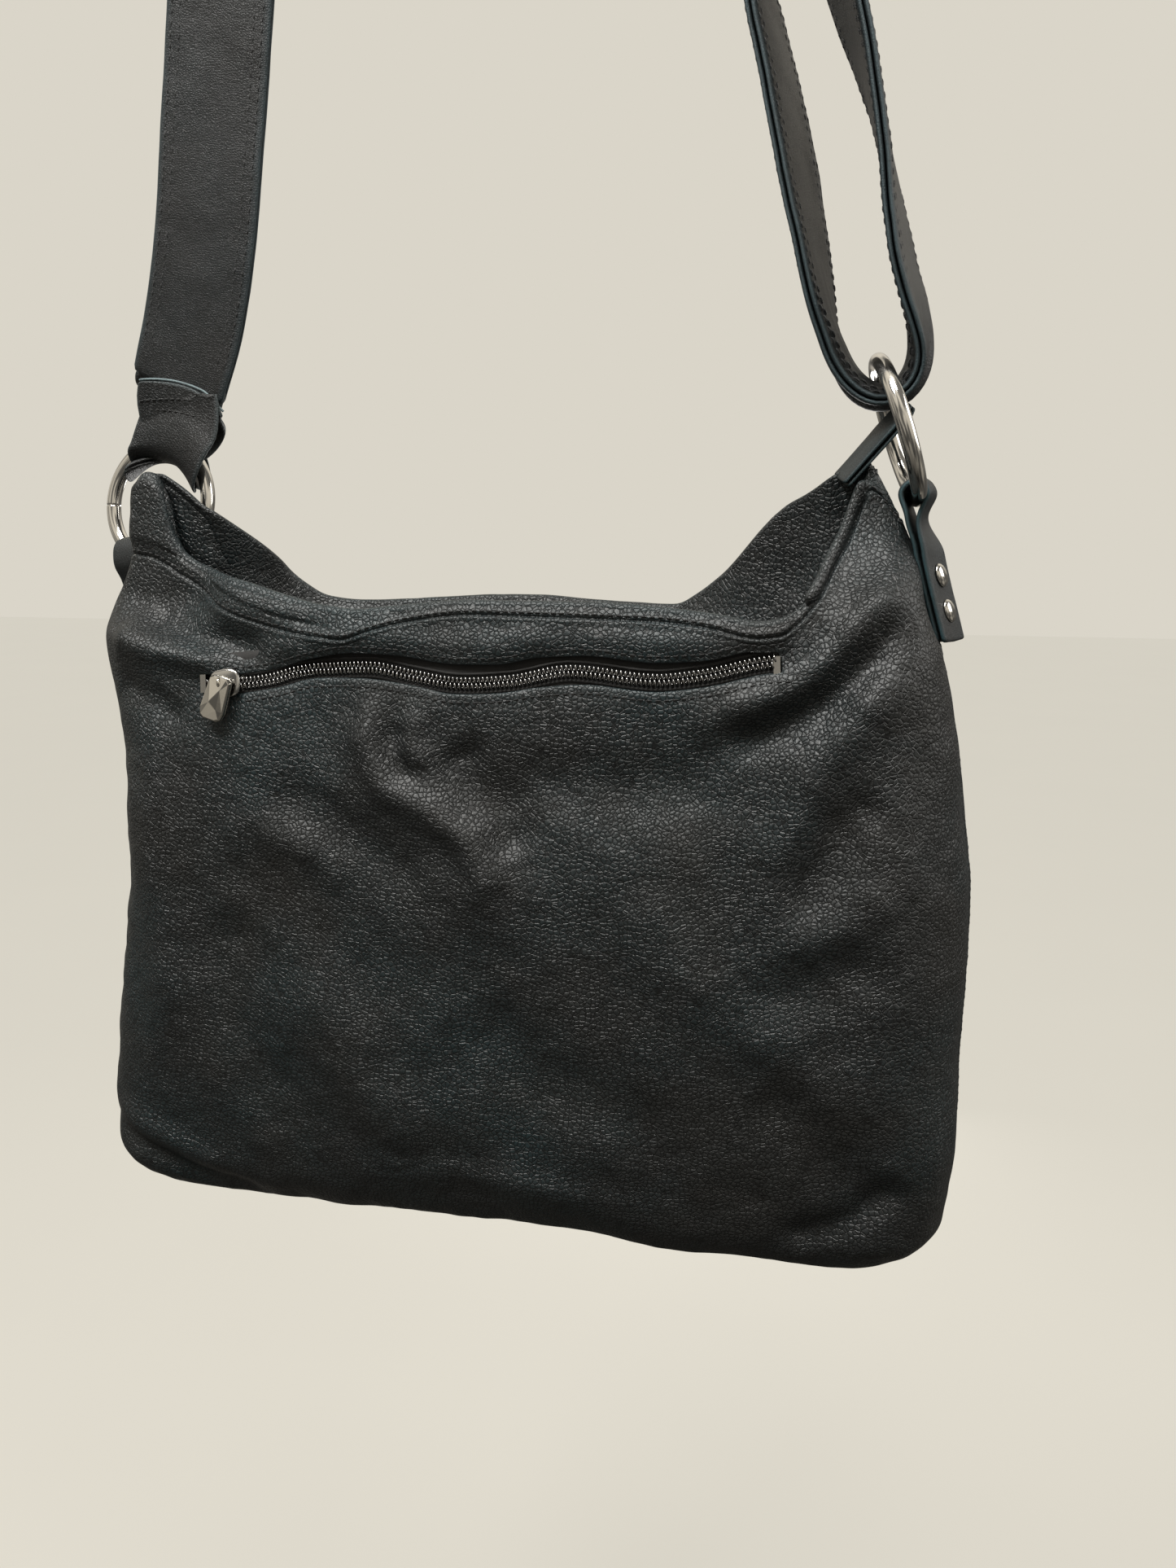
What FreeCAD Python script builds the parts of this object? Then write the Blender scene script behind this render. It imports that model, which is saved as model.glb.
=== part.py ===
import FreeCAD, Part
import math
import os

# Hobo shoulder bag: slouchy two-panel leather body, sunk top zip, front zip
# pocket, two wire rings on side tabs, and a wide two-layer adjustable strap.
#
# Directions: +X to the right seen from the pocket side, +Y to the back,
# +Z up. The bag hangs from its strap. All numbers below are written in the
# bag's own working frame, whose height zero lies at the top of the body; the
# Placement of every sub-part then moves the origin to the underside of the
# strap's crown, which is what rests on a hook or a shoulder.

App = FreeCAD
V = App.Vector
doc = App.newDocument("hobo_bag")

# --------------------------------------------------------------- sheet
sheet = doc.addObject("Spreadsheet::Sheet", "dims")
DIMS = [
    ("crown_x", -29.35, "hook rest, X in the working frame"),
    ("crown_y", -3.0, "hook rest, Y in the working frame"),
    ("crown_z", 630.23, "hook rest, height above the top of the body"),
    ("hook_radius", 12.0, "radius the crown is bent to"),
    ("leather_t", 2.0, "body leather"),
    ("lining_t", 0.7, "lining cloth"),
    ("facing_t", 1.2, "top facing leather"),
    ("tab_t", 2.0, "side tab leather, one layer"),
    ("tab_w", 20.0, "side tab width"),
    ("strap_w", 45.0, "strap width"),
    ("strap_layer", 2.2, "strap, one layer"),
    ("neck_w", 26.0, "strap width where it gathers in a ring"),
    ("ring_mid", 25.5, "ring radius to the middle of the wire"),
    ("wire_rad", 3.0, "ring wire radius"),
    ("rivet_head", 4.5, "rivet cap radius"),
    ("rivet_post", 1.6, "rivet post radius"),
    ("pocket_zip_len", 224.0, "pocket chain length"),
    ("main_zip_len", 208.0, "main chain length"),
    ("chain_w", 6.6, "closed coil chain width"),
    ("chain_t", 2.0, "coil chain height above the tape"),
    ("tape_w", 26.0, "zip tape width"),
    ("tape_t", 0.6, "zip tape thickness"),
    ("slider_len", 15.0, "slider body length"),
    ("slider_w", 11.0, "slider body width"),
    ("pull_len", 26.0, "pull length"),
    ("pull_w", 12.0, "pull width at the free end"),
    ("pull_t", 2.2, "pull thickness"),
    ("end_tab_w", 16.0, "zip end tab width"),
    ("end_tab_len", 29.0, "zip end tab length outside the body"),
    ("end_tab_t", 3.2, "zip end tab, folded double"),
    ("buckle_wire", 3.0, "slide buckle bar diameter"),
    ("seam_y", -4.0, "plane of the side seams"),
]
D = {}
for i, (name, val, note) in enumerate(DIMS):
    row = i + 1
    sheet.set("A%d" % row, name.replace("_", " "))
    sheet.set("B%d" % row, "%g" % val)
    sheet.set("C%d" % row, note)
    sheet.setAlias("B%d" % row, name)
doc.recompute()
for name, val, note in DIMS:
    D[name] = float(sheet.get(name))

ORIGIN = V(D["crown_x"], D["crown_y"], D["crown_z"])
MOVE = App.Placement(V(-ORIGIN.x, -ORIGIN.y, -ORIGIN.z), App.Rotation())
PARTS = []


def place(obj, pl=None):
    obj.Placement = MOVE.multiply(pl) if pl is not None else App.Placement(MOVE)
    PARTS.append(obj)
    return obj


def soft(label, shape, pl=None):
    f = doc.addObject("Part::Feature", label)
    f.Label = label
    f.Shape = shape
    return place(f, pl)


def body(label):
    b = doc.addObject("PartDesign::Body", label)
    b.Label = label
    return b


def plane(b, role):
    for o in b.Origin.OriginFeatures:
        if o.Role == role:
            return o
    raise RuntimeError("no plane " + role)


def sketch(b, name, role="XY_Plane", lift=None):
    s = b.newObject("Sketcher::SketchObject", name)
    s.AttachmentSupport = (plane(b, role), [""])
    s.MapMode = "FlatFace"
    if lift is not None:
        s.AttachmentOffset = App.Placement(V(0, 0, lift), App.Rotation())
    return s


def rect(s, wx, wy, cx=0.0, cy=0.0, ex=None, ey=None):
    """Rectangle centred on (cx, cy); ex and ey bind its sides to the sheet."""
    x0, x1, y0, y1 = cx - wx / 2, cx + wx / 2, cy - wy / 2, cy + wy / 2
    p = [V(x0, y0, 0), V(x1, y0, 0), V(x1, y1, 0), V(x0, y1, 0)]
    g = [s.addGeometry(Part.LineSegment(p[i], p[(i + 1) % 4]), False) for i in range(4)]
    import Sketcher
    for i in range(4):
        s.addConstraint(Sketcher.Constraint("Coincident", g[i], 2, g[(i + 1) % 4], 1))
    s.addConstraint(Sketcher.Constraint("Horizontal", g[0]))
    s.addConstraint(Sketcher.Constraint("Horizontal", g[2]))
    s.addConstraint(Sketcher.Constraint("Vertical", g[1]))
    s.addConstraint(Sketcher.Constraint("Vertical", g[3]))
    c = s.addConstraint(Sketcher.Constraint("DistanceX", g[0], 1, g[0], 2, wx))
    if ex:
        s.setExpression("Constraints[%d]" % c, ex)
    c = s.addConstraint(Sketcher.Constraint("DistanceY", g[1], 1, g[1], 2, wy))
    if ey:
        s.setExpression("Constraints[%d]" % c, ey)
    c = s.addConstraint(Sketcher.Constraint("DistanceX", -1, 1, g[0], 1, x0))
    if ex:
        s.setExpression("Constraints[%d]" % c, "%g - (%s) / 2" % (cx, ex))
    c = s.addConstraint(Sketcher.Constraint("DistanceY", -1, 1, g[0], 1, y0))
    if ey:
        s.setExpression("Constraints[%d]" % c, "%g - (%s) / 2" % (cy, ey))
    return g


def poly(s, pts):
    """Closed outline of straight edges through pts."""
    import Sketcher
    n = len(pts)
    g = [s.addGeometry(Part.LineSegment(V(pts[i][0], pts[i][1], 0),
                                        V(pts[(i + 1) % n][0], pts[(i + 1) % n][1], 0)), False)
         for i in range(n)]
    for i in range(n):
        s.addConstraint(Sketcher.Constraint("Coincident", g[i], 2, g[(i + 1) % n], 1))
    return g


def pad(b, sk, length, name, expr=None, mid=False, rev=False):
    f = b.newObject("PartDesign::Pad", name)
    f.Profile = sk
    f.Length = length
    if expr:
        f.setExpression("Length", expr)
    f.Midplane = mid
    f.Reversed = rev
    b.Tip = f
    doc.recompute()
    return f


def pocket(b, sk, name, length=None, both=True):
    v0 = b.Shape.Volume
    f = b.newObject("PartDesign::Pocket", name)
    f.Profile = sk
    if length is None:
        f.Type = "ThroughAll"
        f.Midplane = both
    else:
        f.Length = length
    b.Tip = f
    doc.recompute()
    if not b.Shape.Volume < v0 - 1e-6:
        f.Reversed = True
        doc.recompute()
    assert b.Shape.Volume < v0 - 1e-6, name
    return f


# --------------------------------------------------------------- body of the bag
# Horizontal sections of the outer skin: height, left, right, front, back and
# corner radius. The body is box-like at the bottom and thins to a closed lens
# at the two raised ears.
SECTIONS = [
    (-289.0, -138.0, 148.0, -36.0, 28.0, 20.0),
    (-284.0, -164.0, 168.0, -47.0, 38.0, 26.0),
    (-268.0, -180.0, 184.0, -54.0, 45.0, 32.0),
    (-228.0, -177.0, 187.0, -56.5, 48.0, 36.0),
    (-192.0, -172.0, 187.0, -56.0, 47.0, 38.0),
    (-148.0, -168.0, 187.0, -54.5, 44.0, 38.0),
    (-92.0, -167.0, 180.0, -49.0, 37.0, 34.0),
    (-75.0, -169.0, 177.0, -46.5, 34.0, 30.0),
    (-45.0, -170.0, 170.0, -41.9, 28.0, 24.0),
    (-33.0, -166.0, 166.0, -40.0, 25.0, 20.0),
    (-10.0, -157.0, 159.0, -27.0, 12.0, 12.0),
    (22.0, -154.0, 142.0, -17.0, 5.0, 7.0),
]


def at(zz, col):
    """Column col of SECTIONS at height zz, between its two sections."""
    for a, b in zip(SECTIONS, SECTIONS[1:]):
        if a[0] <= zz <= b[0]:
            k = (zz - a[0]) / (b[0] - a[0])
            return a[col] + k * (b[col] - a[col])
    return SECTIONS[0][col] if zz < SECTIONS[0][0] else SECTIONS[-1][col]


def round_rect(zz, x0, x1, y0, y1, r):
    q = r * (1 - math.sqrt(0.5))
    e = [Part.LineSegment(V(x0 + r, y0, zz), V(x1 - r, y0, zz)).toShape(),
         Part.Arc(V(x1 - r, y0, zz), V(x1 - q, y0 + q, zz), V(x1, y0 + r, zz)).toShape(),
         Part.LineSegment(V(x1, y0 + r, zz), V(x1, y1 - r, zz)).toShape(),
         Part.Arc(V(x1, y1 - r, zz), V(x1 - q, y1 - q, zz), V(x1 - r, y1, zz)).toShape(),
         Part.LineSegment(V(x1 - r, y1, zz), V(x0 + r, y1, zz)).toShape(),
         Part.Arc(V(x0 + r, y1, zz), V(x0 + q, y1 - q, zz), V(x0, y1 - r, zz)).toShape(),
         Part.LineSegment(V(x0, y1 - r, zz), V(x0, y0 + r, zz)).toShape(),
         Part.Arc(V(x0, y0 + r, zz), V(x0 + q, y0 + q, zz), V(x0 + r, y0, zz)).toShape()]
    return Part.Wire(e)


def skin(inset, over=0.0):
    """Solid bounded by the outer skin moved inward by inset."""
    w = []
    for i, (zz, x0, x1, y0, y1, r) in enumerate(SECTIONS):
        lift = inset if i < 2 else 0.0
        top = over if i == len(SECTIONS) - 1 else 0.0
        w.append(round_rect(zz + lift + top, x0 + inset, x1 - inset, y0 + inset, y1 - inset,
                            max(r - inset, 1.2)))
    return Part.makeLoft(w, True, True)


def main_solid(shape):
    """The largest solid of a shape, without the slivers that cuts leave."""
    return max(shape.Solids, key=lambda q: q.Volume)


def prism(pts, y0, y1):
    """Outline pts in the XZ plane, from y0 to y1."""
    p = [V(a, y0, b) for a, b in pts]
    face = Part.Face(Part.makePolygon(p + [p[0]]))
    return face.extrude(V(0, y1 - y0, 0))


# The rim: height of the top edge from the left ear to the right ear.
FRONT_EDGE = [(-165, -10), (-146, -12), (-115, -27), (-84, -38), (-53, -39), (-29, -36), (-9, -33),
              (35, -32), (81, -32), (113, -33), (121, -28), (127, -14), (132, -2), (138, 14), (141, 22)]
BACK_EDGE = [(-160, 22), (-147, 19), (-134, 4), (-120, -13), (-106, -29), (-72, -32), (4, -29),
             (68, -30), (90, -12), (109, 3), (130, 19), (134, 22)]


def above(edge, drop=0.0):
    pts = [(a, b - drop) for a, b in edge]
    return [(-260, pts[0][1])] + pts + [(pts[-1][0], 60), (-260, 60)]


def edge_z(edge, xx):
    for a, b in zip(edge, edge[1:]):
        if a[0] <= xx <= b[0]:
            return a[1] + (b[1] - a[1]) * (xx - a[0]) / (b[0] - a[0])
    raise ValueError(xx)


LT = D["leather_t"]
outer = skin(0.0)
inner = skin(LT, 1.0)
wall = outer.cut(inner)
SY = D["seam_y"]
front_half = Part.makeBox(500, 200, 500, V(-250, SY - 200, -300))
back_half = Part.makeBox(500, 200, 500, V(-250, SY, -300))
# The left ear leans forward, so the back of the ear stays clear of the ring.
ring_room = Part.makeBox(70, 60, 90, V(-190, -9.5, -36))

front = wall.common(front_half).cut(prism(above(FRONT_EDGE), -200, SY + 1))
back = wall.common(back_half).cut(prism(above(BACK_EDGE), SY - 1, 200))
back = back.cut(ring_room)
front = front.cut(ring_room)

# Frame of the pocket zip: centre on the front panel, X along the chain, Y into
# the bag, Z up the panel.
lean = math.degrees(math.atan2(6.5, 42.0))
rise = 3.2
zip_pl = App.Placement(V(-1.0, -43.25, -54.0),
                       App.Rotation(V(1, 0, 0), -lean).multiply(App.Rotation(V(0, 1, 0), -rise)))


def local_box(x0, x1, y0, y1, z0, z1, pl):
    b = Part.makeBox(x1 - x0, y1 - y0, z1 - z0, V(x0, y0, z0))
    b.Placement = pl
    return b


slot_half = D["pocket_zip_len"] / 2 + 4.0
front = front.cut(local_box(-slot_half, slot_half, -4, 5, -6.0, 6.0, zip_pl))

LI = D["lining_t"]
liner = skin(LT + 0.3).cut(skin(LT + 0.3 + LI, 1.0))
liner_front = liner.common(front_half).cut(prism(above(FRONT_EDGE, 4.0), -200, SY + 1))
liner_back = liner.common(back_half).cut(prism(above(BACK_EDGE, 4.0), SY - 1, 200))
liner = liner_front.fuse(liner_back).cut(ring_room).removeSplitter()
liner = liner.cut(local_box(-slot_half - 3, slot_half + 3, -6, 7, -15.0, 15.0, zip_pl))

# Top facings: thin leather strips from each rim down to the zip tape.
ZIP_Y, ZIP_Z = -8.0, -51.5
XS = [-110, -84, -53, -29, 0, 35, 81, 110]


def facing(edge, col, side):
    w = []
    t = D["facing_t"]
    for xx in XS:
        ze = edge_z(edge, xx) - 1.0
        inset = LT + 0.3 + LI + 0.8
        ye = at(ze, col) + (inset if side < 0 else -inset)
        yc, zc = ZIP_Y + side * 7.4, ZIP_Z + 0.3
        d = V(0, ye - yc, ze - zc)
        d.normalize()
        nn = V(0, -d.z, d.y) if side > 0 else V(0, d.z, -d.y)
        if nn.z < 0:
            nn = nn * -1.0
        a, b = V(xx, ye, ze), V(xx, yc, zc)
        w.append(Part.makePolygon([a, b, b + nn * t, a + nn * t, a]))
    return Part.makeLoft(w, True, True)


front_facing = facing(FRONT_EDGE, 3, -1)
back_facing = facing(BACK_EDGE, 4, 1)

# --------------------------------------------------------------- rings
RM, WR = D["ring_mid"], D["wire_rad"]


def ring_frame(cx, cy, cz, az, el):
    a, e = math.radians(az), math.radians(el)
    n = V(math.cos(a) * math.cos(e), math.sin(a) * math.cos(e), math.sin(e))
    up = V(0, 0, 1) - n * n.z
    up.normalize()
    side = up.cross(n)
    m = App.Matrix(side.x, n.x, up.x, cx, side.y, n.y, up.y, cy, side.z, n.z, up.z, cz, 0, 0, 0, 1)
    return App.Placement(m), n, up, side


L_RING = ring_frame(-157.4, 3.0, 11.0, 81.0, -11.0)
R_RING = ring_frame(150.5, -5.0, 35.0, 4.3, 19.2)


def ring(label, frame):
    b = body(label)
    s = sketch(b, label + "_wire", "XY_Plane")
    import Sketcher
    g = s.addGeometry(Part.Circle(V(RM, 0, 0), V(0, 0, 1), WR), False)
    c = s.addConstraint(Sketcher.Constraint("Radius", g, WR))
    s.setExpression("Constraints[%d]" % c, "dims.wire_rad")
    s.addConstraint(Sketcher.Constraint("PointOnObject", g, 3, -1))
    c = s.addConstraint(Sketcher.Constraint("DistanceX", -1, 1, g, 3, RM))
    s.setExpression("Constraints[%d]" % c, "dims.ring_mid")
    r = b.newObject("PartDesign::Revolution", label + "_turn")
    r.Profile = s
    r.ReferenceAxis = (s, ["V_Axis"])
    r.Angle = 360
    b.Tip = r
    doc.recompute()
    return place(b, frame[0])


ring("left_ring", L_RING)
ring("right_ring", R_RING)


def band(stations, lo, hi):
    """Ruled solid through rectangles. A station is (point, travel, face
    normal, width); the leather lies from lo to hi along the face normal."""
    w = []
    for p, t, m, wd in stations:
        side = t.cross(m)
        side.normalize()
        h = side * (wd / 2.0)
        a, b = p + m * lo, p + m * hi
        q = [a - h, a + h, b + h, b - h]
        w.append(Part.makePolygon(q + [q[0]]))
    return Part.makeLoft(w, True, True)


def travel(pts):
    out = []
    for i, p in enumerate(pts):
        a = pts[max(i - 1, 0)]
        b = pts[min(i + 1, len(pts) - 1)]
        if 0 < i < len(pts) - 1:
            u, v = p - a, b - p
            u.normalize()
            v.normalize()
            t = u + v
        else:
            t = b - a
        t.normalize()
        out.append(t)
    return out


def arc_pts(cx, cz, r, a0, a1, n, yy):
    return [V(cx + r * math.cos(math.radians(a0 + (a1 - a0) * i / n)), yy,
              cz + r * math.sin(math.radians(a0 + (a1 - a0) * i / n))) for i in range(n + 1)]


# --------------------------------------------------------------- strap
SW, SL, NW = D["strap_w"], D["strap_layer"], D["neck_w"]
RC = D["hook_radius"] + SL
left_slope, right_slope = 0.165, -0.255
lx0, lz0 = -112.5, 201.5
rx0, rz0 = 96.8, 181.0
# Crown centre: the point at the crown radius from both straight legs.
al, ar = math.atan(left_slope), math.atan(-right_slope)
# left line normal pointing right, right line normal pointing left
nl = (math.cos(al), -math.sin(al))
nr = (-math.cos(ar), -math.sin(ar))
c1 = nl[0] * lx0 + nl[1] * lz0 + RC
c2 = nr[0] * rx0 + nr[1] * rz0 + RC
det = nl[0] * nr[1] - nl[1] * nr[0]
CX = (c1 * nr[1] - nl[1] * c2) / det
CZ = (nl[0] * c2 - c1 * nr[0]) / det
CY = D["crown_y"]
print("crown centre", round(CX, 2), round(CZ, 2), "underside", round(CZ + D["hook_radius"], 2))


def on_left(zz):
    return lx0 + left_slope * (zz - lz0)


# middle of the two layers, from the left ring up to the crown; the last number
# is how far the face has turned from the front to the outside of the loop
P = [(V(-145.6, 4.0, 57.0), 0.0, 43.0), (V(-136.0, 3.2, 83.0), 0.0, SW), (V(-127.6, 2.2, 114.0), 0.0, SW),
     (V(-119.8, 0.8, 158.0), 0.0, SW), (V(lx0, -0.5, lz0), 0.0, SW), (V(on_left(250), -1.5, 250), 4.0, SW),
     (V(on_left(300), -2.2, 300), 14.0, SW), (V(on_left(350), -2.7, 350), 29.0, SW),
     (V(on_left(400), CY, 400), 47.0, SW), (V(on_left(450), CY, 450), 65.0, SW),
     (V(on_left(500), CY, 500), 80.0, SW), (V(on_left(550), CY, 550), 88.0, SW),
     (V(on_left(590), CY, 590), 90.0, SW)]
a0, a1 = 180 - math.degrees(al), math.degrees(ar)
for q in arc_pts(CX, CZ, RC, a0, a1, 10, CY):
    P.append((q, 90.0, SW))


def on_right(zz):
    return rx0 + right_slope * (zz - rz0)


UP = V(right_slope, 0, 1)
UP.normalize()
OUT = V(UP.z, 0, -UP.x)
BZ = 312.0
BC = V(on_right(BZ), CY, BZ)


def slide_pt(s, m):
    return BC + UP * s + OUT * m


for s, m in [(120, 0), (60, 0), (40, 0.6), (24, 4.3), (17, 4.2), (6, -6.9), (0, -7.1), (-6, -6.9), (-17, 4.2),
             (-24, 4.3), (-40, 0.6), (-60, 0)]:
    P.append((slide_pt(s, m), 90.0, SW))
legs = [(rx0, rz0, SW), (105.0, 151.0, SW), (114.4, 112.0, SW), (121.3, 82.0, 42.0), (125.8, 67.5, 37.0),
        (132.0, 55.8, 31.0), (138.2, 49.4, NW), (145.0, 47.0, NW), (151.6, 49.2, NW), (157.4, 55.8, 31.0),
        (160.2, 66.0, 37.0), (158.6, 79.0, 42.0), (153.4, 92.0, SW), (145.6, 106.0, SW), (138.4, 124.0, SW),
        (131.4, 150.0, SW), (123.5, 179.0, SW), (114.5, 215.0, SW), (103.5, 248.0, SW)]
for xx, zz, wd in legs:
    P.append((V(xx, CY, zz), 90.0, wd))
for s, m in [(-38, 11.6), (-24, 9.4), (-17, 9.2), (-9, 7.2), (-2.5, 4.9)]:
    P.append((slide_pt(s, m), 90.0, SW if s < -12 else 40.0))

T = travel([p for p, th, wd in P])
stations = []
for (p, th, wd), t in zip(P, T):
    m0 = V(0, -1, 0) - t * t.dot(V(0, -1, 0))
    m0.normalize()
    m1 = V(-t.z, 0, t.x)
    m1.normalize()
    c, s = math.cos(math.radians(th)), math.sin(math.radians(th))
    m = m0 * c + m1 * s
    m = m - t * t.dot(m)
    m.normalize()
    stations.append((p, t, m, wd))
face_layer = band(stations, 0.0, SL)
back_layer = band(stations, -SL, 0.0)

# The backing runs on alone through the left ring and up in front as a flap.
pl, n_l, up_l, side_l = L_RING
if side_l.x < 0:
    side_l = side_l * -1.0
lean_r = math.radians(16.0)
dir_top = up_l * math.cos(lean_r) + side_l * math.sin(lean_r)
wire_top = V(-157.4, 3.0, 11.0) + dir_top * RM
along = side_l * math.cos(lean_r) - up_l * math.sin(lean_r)
back_dir = along.cross(dir_top)
if back_dir.y < 0:
    back_dir = back_dir * -1.0


def ring_pt(b, u):
    return wire_top + back_dir * b + dir_top * u


s0 = stations[0]
start = s0[0] - s0[2] * (SL / 2)
fold = [(start + s0[1] * 5.0, 43.0), (start, 43.0), (ring_pt(5.2, 15.0), 40.0), (ring_pt(7.0, 7.0), 34.0), (ring_pt(7.0, 0.0), 28.0),
        (ring_pt(6.2, -4.6), 25.0), (ring_pt(3.6, -7.6), 24.0), (ring_pt(0.0, -8.6), 24.0),
        (ring_pt(-3.6, -7.6), 24.0), (ring_pt(-6.4, -4.6), 25.0), (ring_pt(-7.6, 0.0), 28.0),
        (ring_pt(-8.2, 7.0), 34.0), (ring_pt(-7.9, 13.0), 40.0)]
top = s0[0] + s0[2] * (SL * 1.5 + 0.15)
fold.append((top + s0[1] * -5.0, 42.0))
fold.append((top + s0[1] * 0.5, 42.0))
FT = travel([p for p, wd in fold])
fst = []
prev_m = s0[2] * 1.0
s0_side = s0[1].cross(s0[2])
if s0_side.dot(along) < 0:
    s0_side = s0_side * -1.0
turn = [0.0, 0.0, 0.5] + [1.0] * (len(fold) - 6) + [0.7, 0.0, 0.0]
for (p, wd), t, k in zip(fold, FT, turn):
    side = s0_side * (1 - k) + along * k
    side = side - t * t.dot(side)
    side.normalize()
    m = side.cross(t)
    m.normalize()
    if m.dot(prev_m) < 0:
        m = m * -1.0
    prev_m = m
    fst.append((p, t, m, wd))
fold_band = band(fst, -SL / 2, SL / 2)

# Sleeve of the strap end round the middle bar of the slide buckle.
BW = D["buckle_wire"] / 2
cyl_a = Part.makeCylinder(BW + 0.75 + SL, 40, BC + V(0, -20, 0), V(0, 1, 0))
cyl_b = Part.makeCylinder(BW + 0.75, 50, BC + V(0, -25, 0), V(0, 1, 0))
strap_face = face_layer.cut(cyl_b)
strap_back = back_layer.cut(cyl_b).fuse(fold_band)
sleeve = cyl_a.cut(cyl_b).cut(face_layer)
strap_back = strap_back.fuse(sleeve).cut(strap_face)
strap_back = Part.makeCompound([q for q in strap_back.Solids if q.Volume > 200.0])
soft("strap_face", strap_face)
soft("strap_backing", strap_back)

# Slide buckle: a flat wire frame with a middle bar.
bk = body("strap_slide_buckle")
s = sketch(bk, "buckle_outline", "XY_Plane")
rect(s, SW + 11.0, 46.0, ex="dims.strap_w + 11", ey="40 + 2 * dims.buckle_wire")
pad(bk, s, D["buckle_wire"], "buckle_plate", "dims.buckle_wire", mid=True)
s = sketch(bk, "buckle_windows", "XY_Plane")
rect(s, SW + 4.0, 17.0, 0, 10.0, ex="dims.strap_w + 4")
rect(s, SW + 4.0, 17.0, 0, -10.0, ex="dims.strap_w + 4")
pocket(bk, s, "buckle_cut")
mb = App.Matrix(0, UP.x, OUT.x, BC.x, 1, UP.y, OUT.y, BC.y, 0, UP.z, OUT.z, BC.z, 0, 0, 0, 1)
place(bk, App.Placement(mb))

# --------------------------------------------------------------- side tabs
TT, TW = D["tab_t"], D["tab_w"]
R_LOW = R_RING[2] * -RM + V(150.5, -5.0, 35.0)
print("right tab bears at", [round(c, 2) for c in R_LOW])


def side_x(zz, off, sgn):
    return at(zz, 2) + off if sgn > 0 else at(zz, 1) - off


cxr, czr = R_LOW.x, R_LOW.z + 3.2
lr = 5.5 + TT / 2
path = [V(side_x(-40, 0.4 + TT / 2, 1), 0, -40), V(side_x(-33, 0.4 + TT / 2, 1), 0, -33),
        V(side_x(-10, 0.5 + TT / 2, 1), 0, -10), V(cxr - lr + 1.2, 0, 2.0)]
path += arc_pts(cxr, czr, lr, 180, 0, 8, 0)
path += [V(cxr + lr - 1.0, 0, 2.0), V(side_x(-10, 1.1 + TT * 1.5, 1), 0, -10),
         V(side_x(-33, 1.0 + TT * 1.5, 1), 0, -33), V(side_x(-40, 1.0 + TT * 1.5, 1), 0, -40)]
path = [V(p.x, R_LOW.y, p.z) for p in path]
tp = travel(path)
st = [(p, t, t.cross(V(0, 1, 0)), TW) for p, t in zip(path, tp)]
right_tab = band(st, -TT / 2, TT / 2)

# The left tab turns a quarter turn between the side seam and the ring.
lo_dir = (up_l * -0.905 + side_l * -0.425)
lo_dir.normalize()
L_LOW = V(-157.4, 3.0, 11.0) + lo_dir * RM
print("left tab bears at", [round(c, 2) for c in L_LOW])
l_along = side_l * 0.905 - up_l * 0.425
l_along.normalize()
l_back = l_along.cross(lo_dir)
if l_back.y < 0:
    l_back = l_back * -1.0


def lp(b, d):
    return L_LOW + l_back * b + lo_dir * d


lw = 15.0
lpath = [lp(-1.15, 14.0), lp(-3.0, 9.0), lp(-6.0, 4.0), lp(-6.3, -0.6), lp(-5.4, -4.4), lp(-3.0, -7.0),
         lp(0, -7.8), lp(3.0, -7.0), lp(5.4, -4.4), lp(6.3, -0.6), lp(6.0, 4.0), lp(3.0, 9.0), lp(1.15, 14.0)]
lt = travel(lpath)
lst = []
for p, t in zip(lpath, lt):
    sd = l_along - t * t.dot(l_along)
    sd.normalize()
    lst.append((p, t, sd.cross(t), lw))
left_tab = band(lst, -TT / 2, TT / 2)
stack = []
p0 = lp(0, 14.1)
tail = [(p0, l_along, lw + 0.6), (lp(0, 18.5) + V(-1.0, -0.5, 0), l_along + V(0, -0.45, 0), lw + 1),
        (V(side_x(-33, 4.0, -1), -3.2, -33.5), V(0.8, -0.9, 0), 17.0),
        (V(side_x(-40, 3.0, -1), -4.0, -40), V(0.15, -1, 0), TW),
        (V(side_x(-45, 2.7, -1), -4.0, -46), V(0, -1, 0), TW),
        (V(side_x(-60, 2.7, -1), -4.0, -60), V(0, -1, 0), TW),
        (V(side_x(-72, 2.7, -1), -4.0, -72), V(0, -1, 0), TW)]
tt = travel([q[0] for q in tail])
w = []
for (p, sd, wd), t in zip(tail, tt):
    sd = sd - t * t.dot(sd)
    sd.normalize()
    m = sd.cross(t)
    m.normalize()
    hh = sd * (wd / 2)
    q = [p - hh - m * (TT + 0.3), p + hh - m * (TT + 0.3), p + hh + m * (TT + 0.3), p - hh + m * (TT + 0.3)]
    w.append(Part.makePolygon(q + [q[0]]))
left_loop = left_tab
left_tab = Part.makeLoft(w, True, True)

# --------------------------------------------------------------- rivets
HR, PR = D["rivet_head"], D["rivet_post"]


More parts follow.
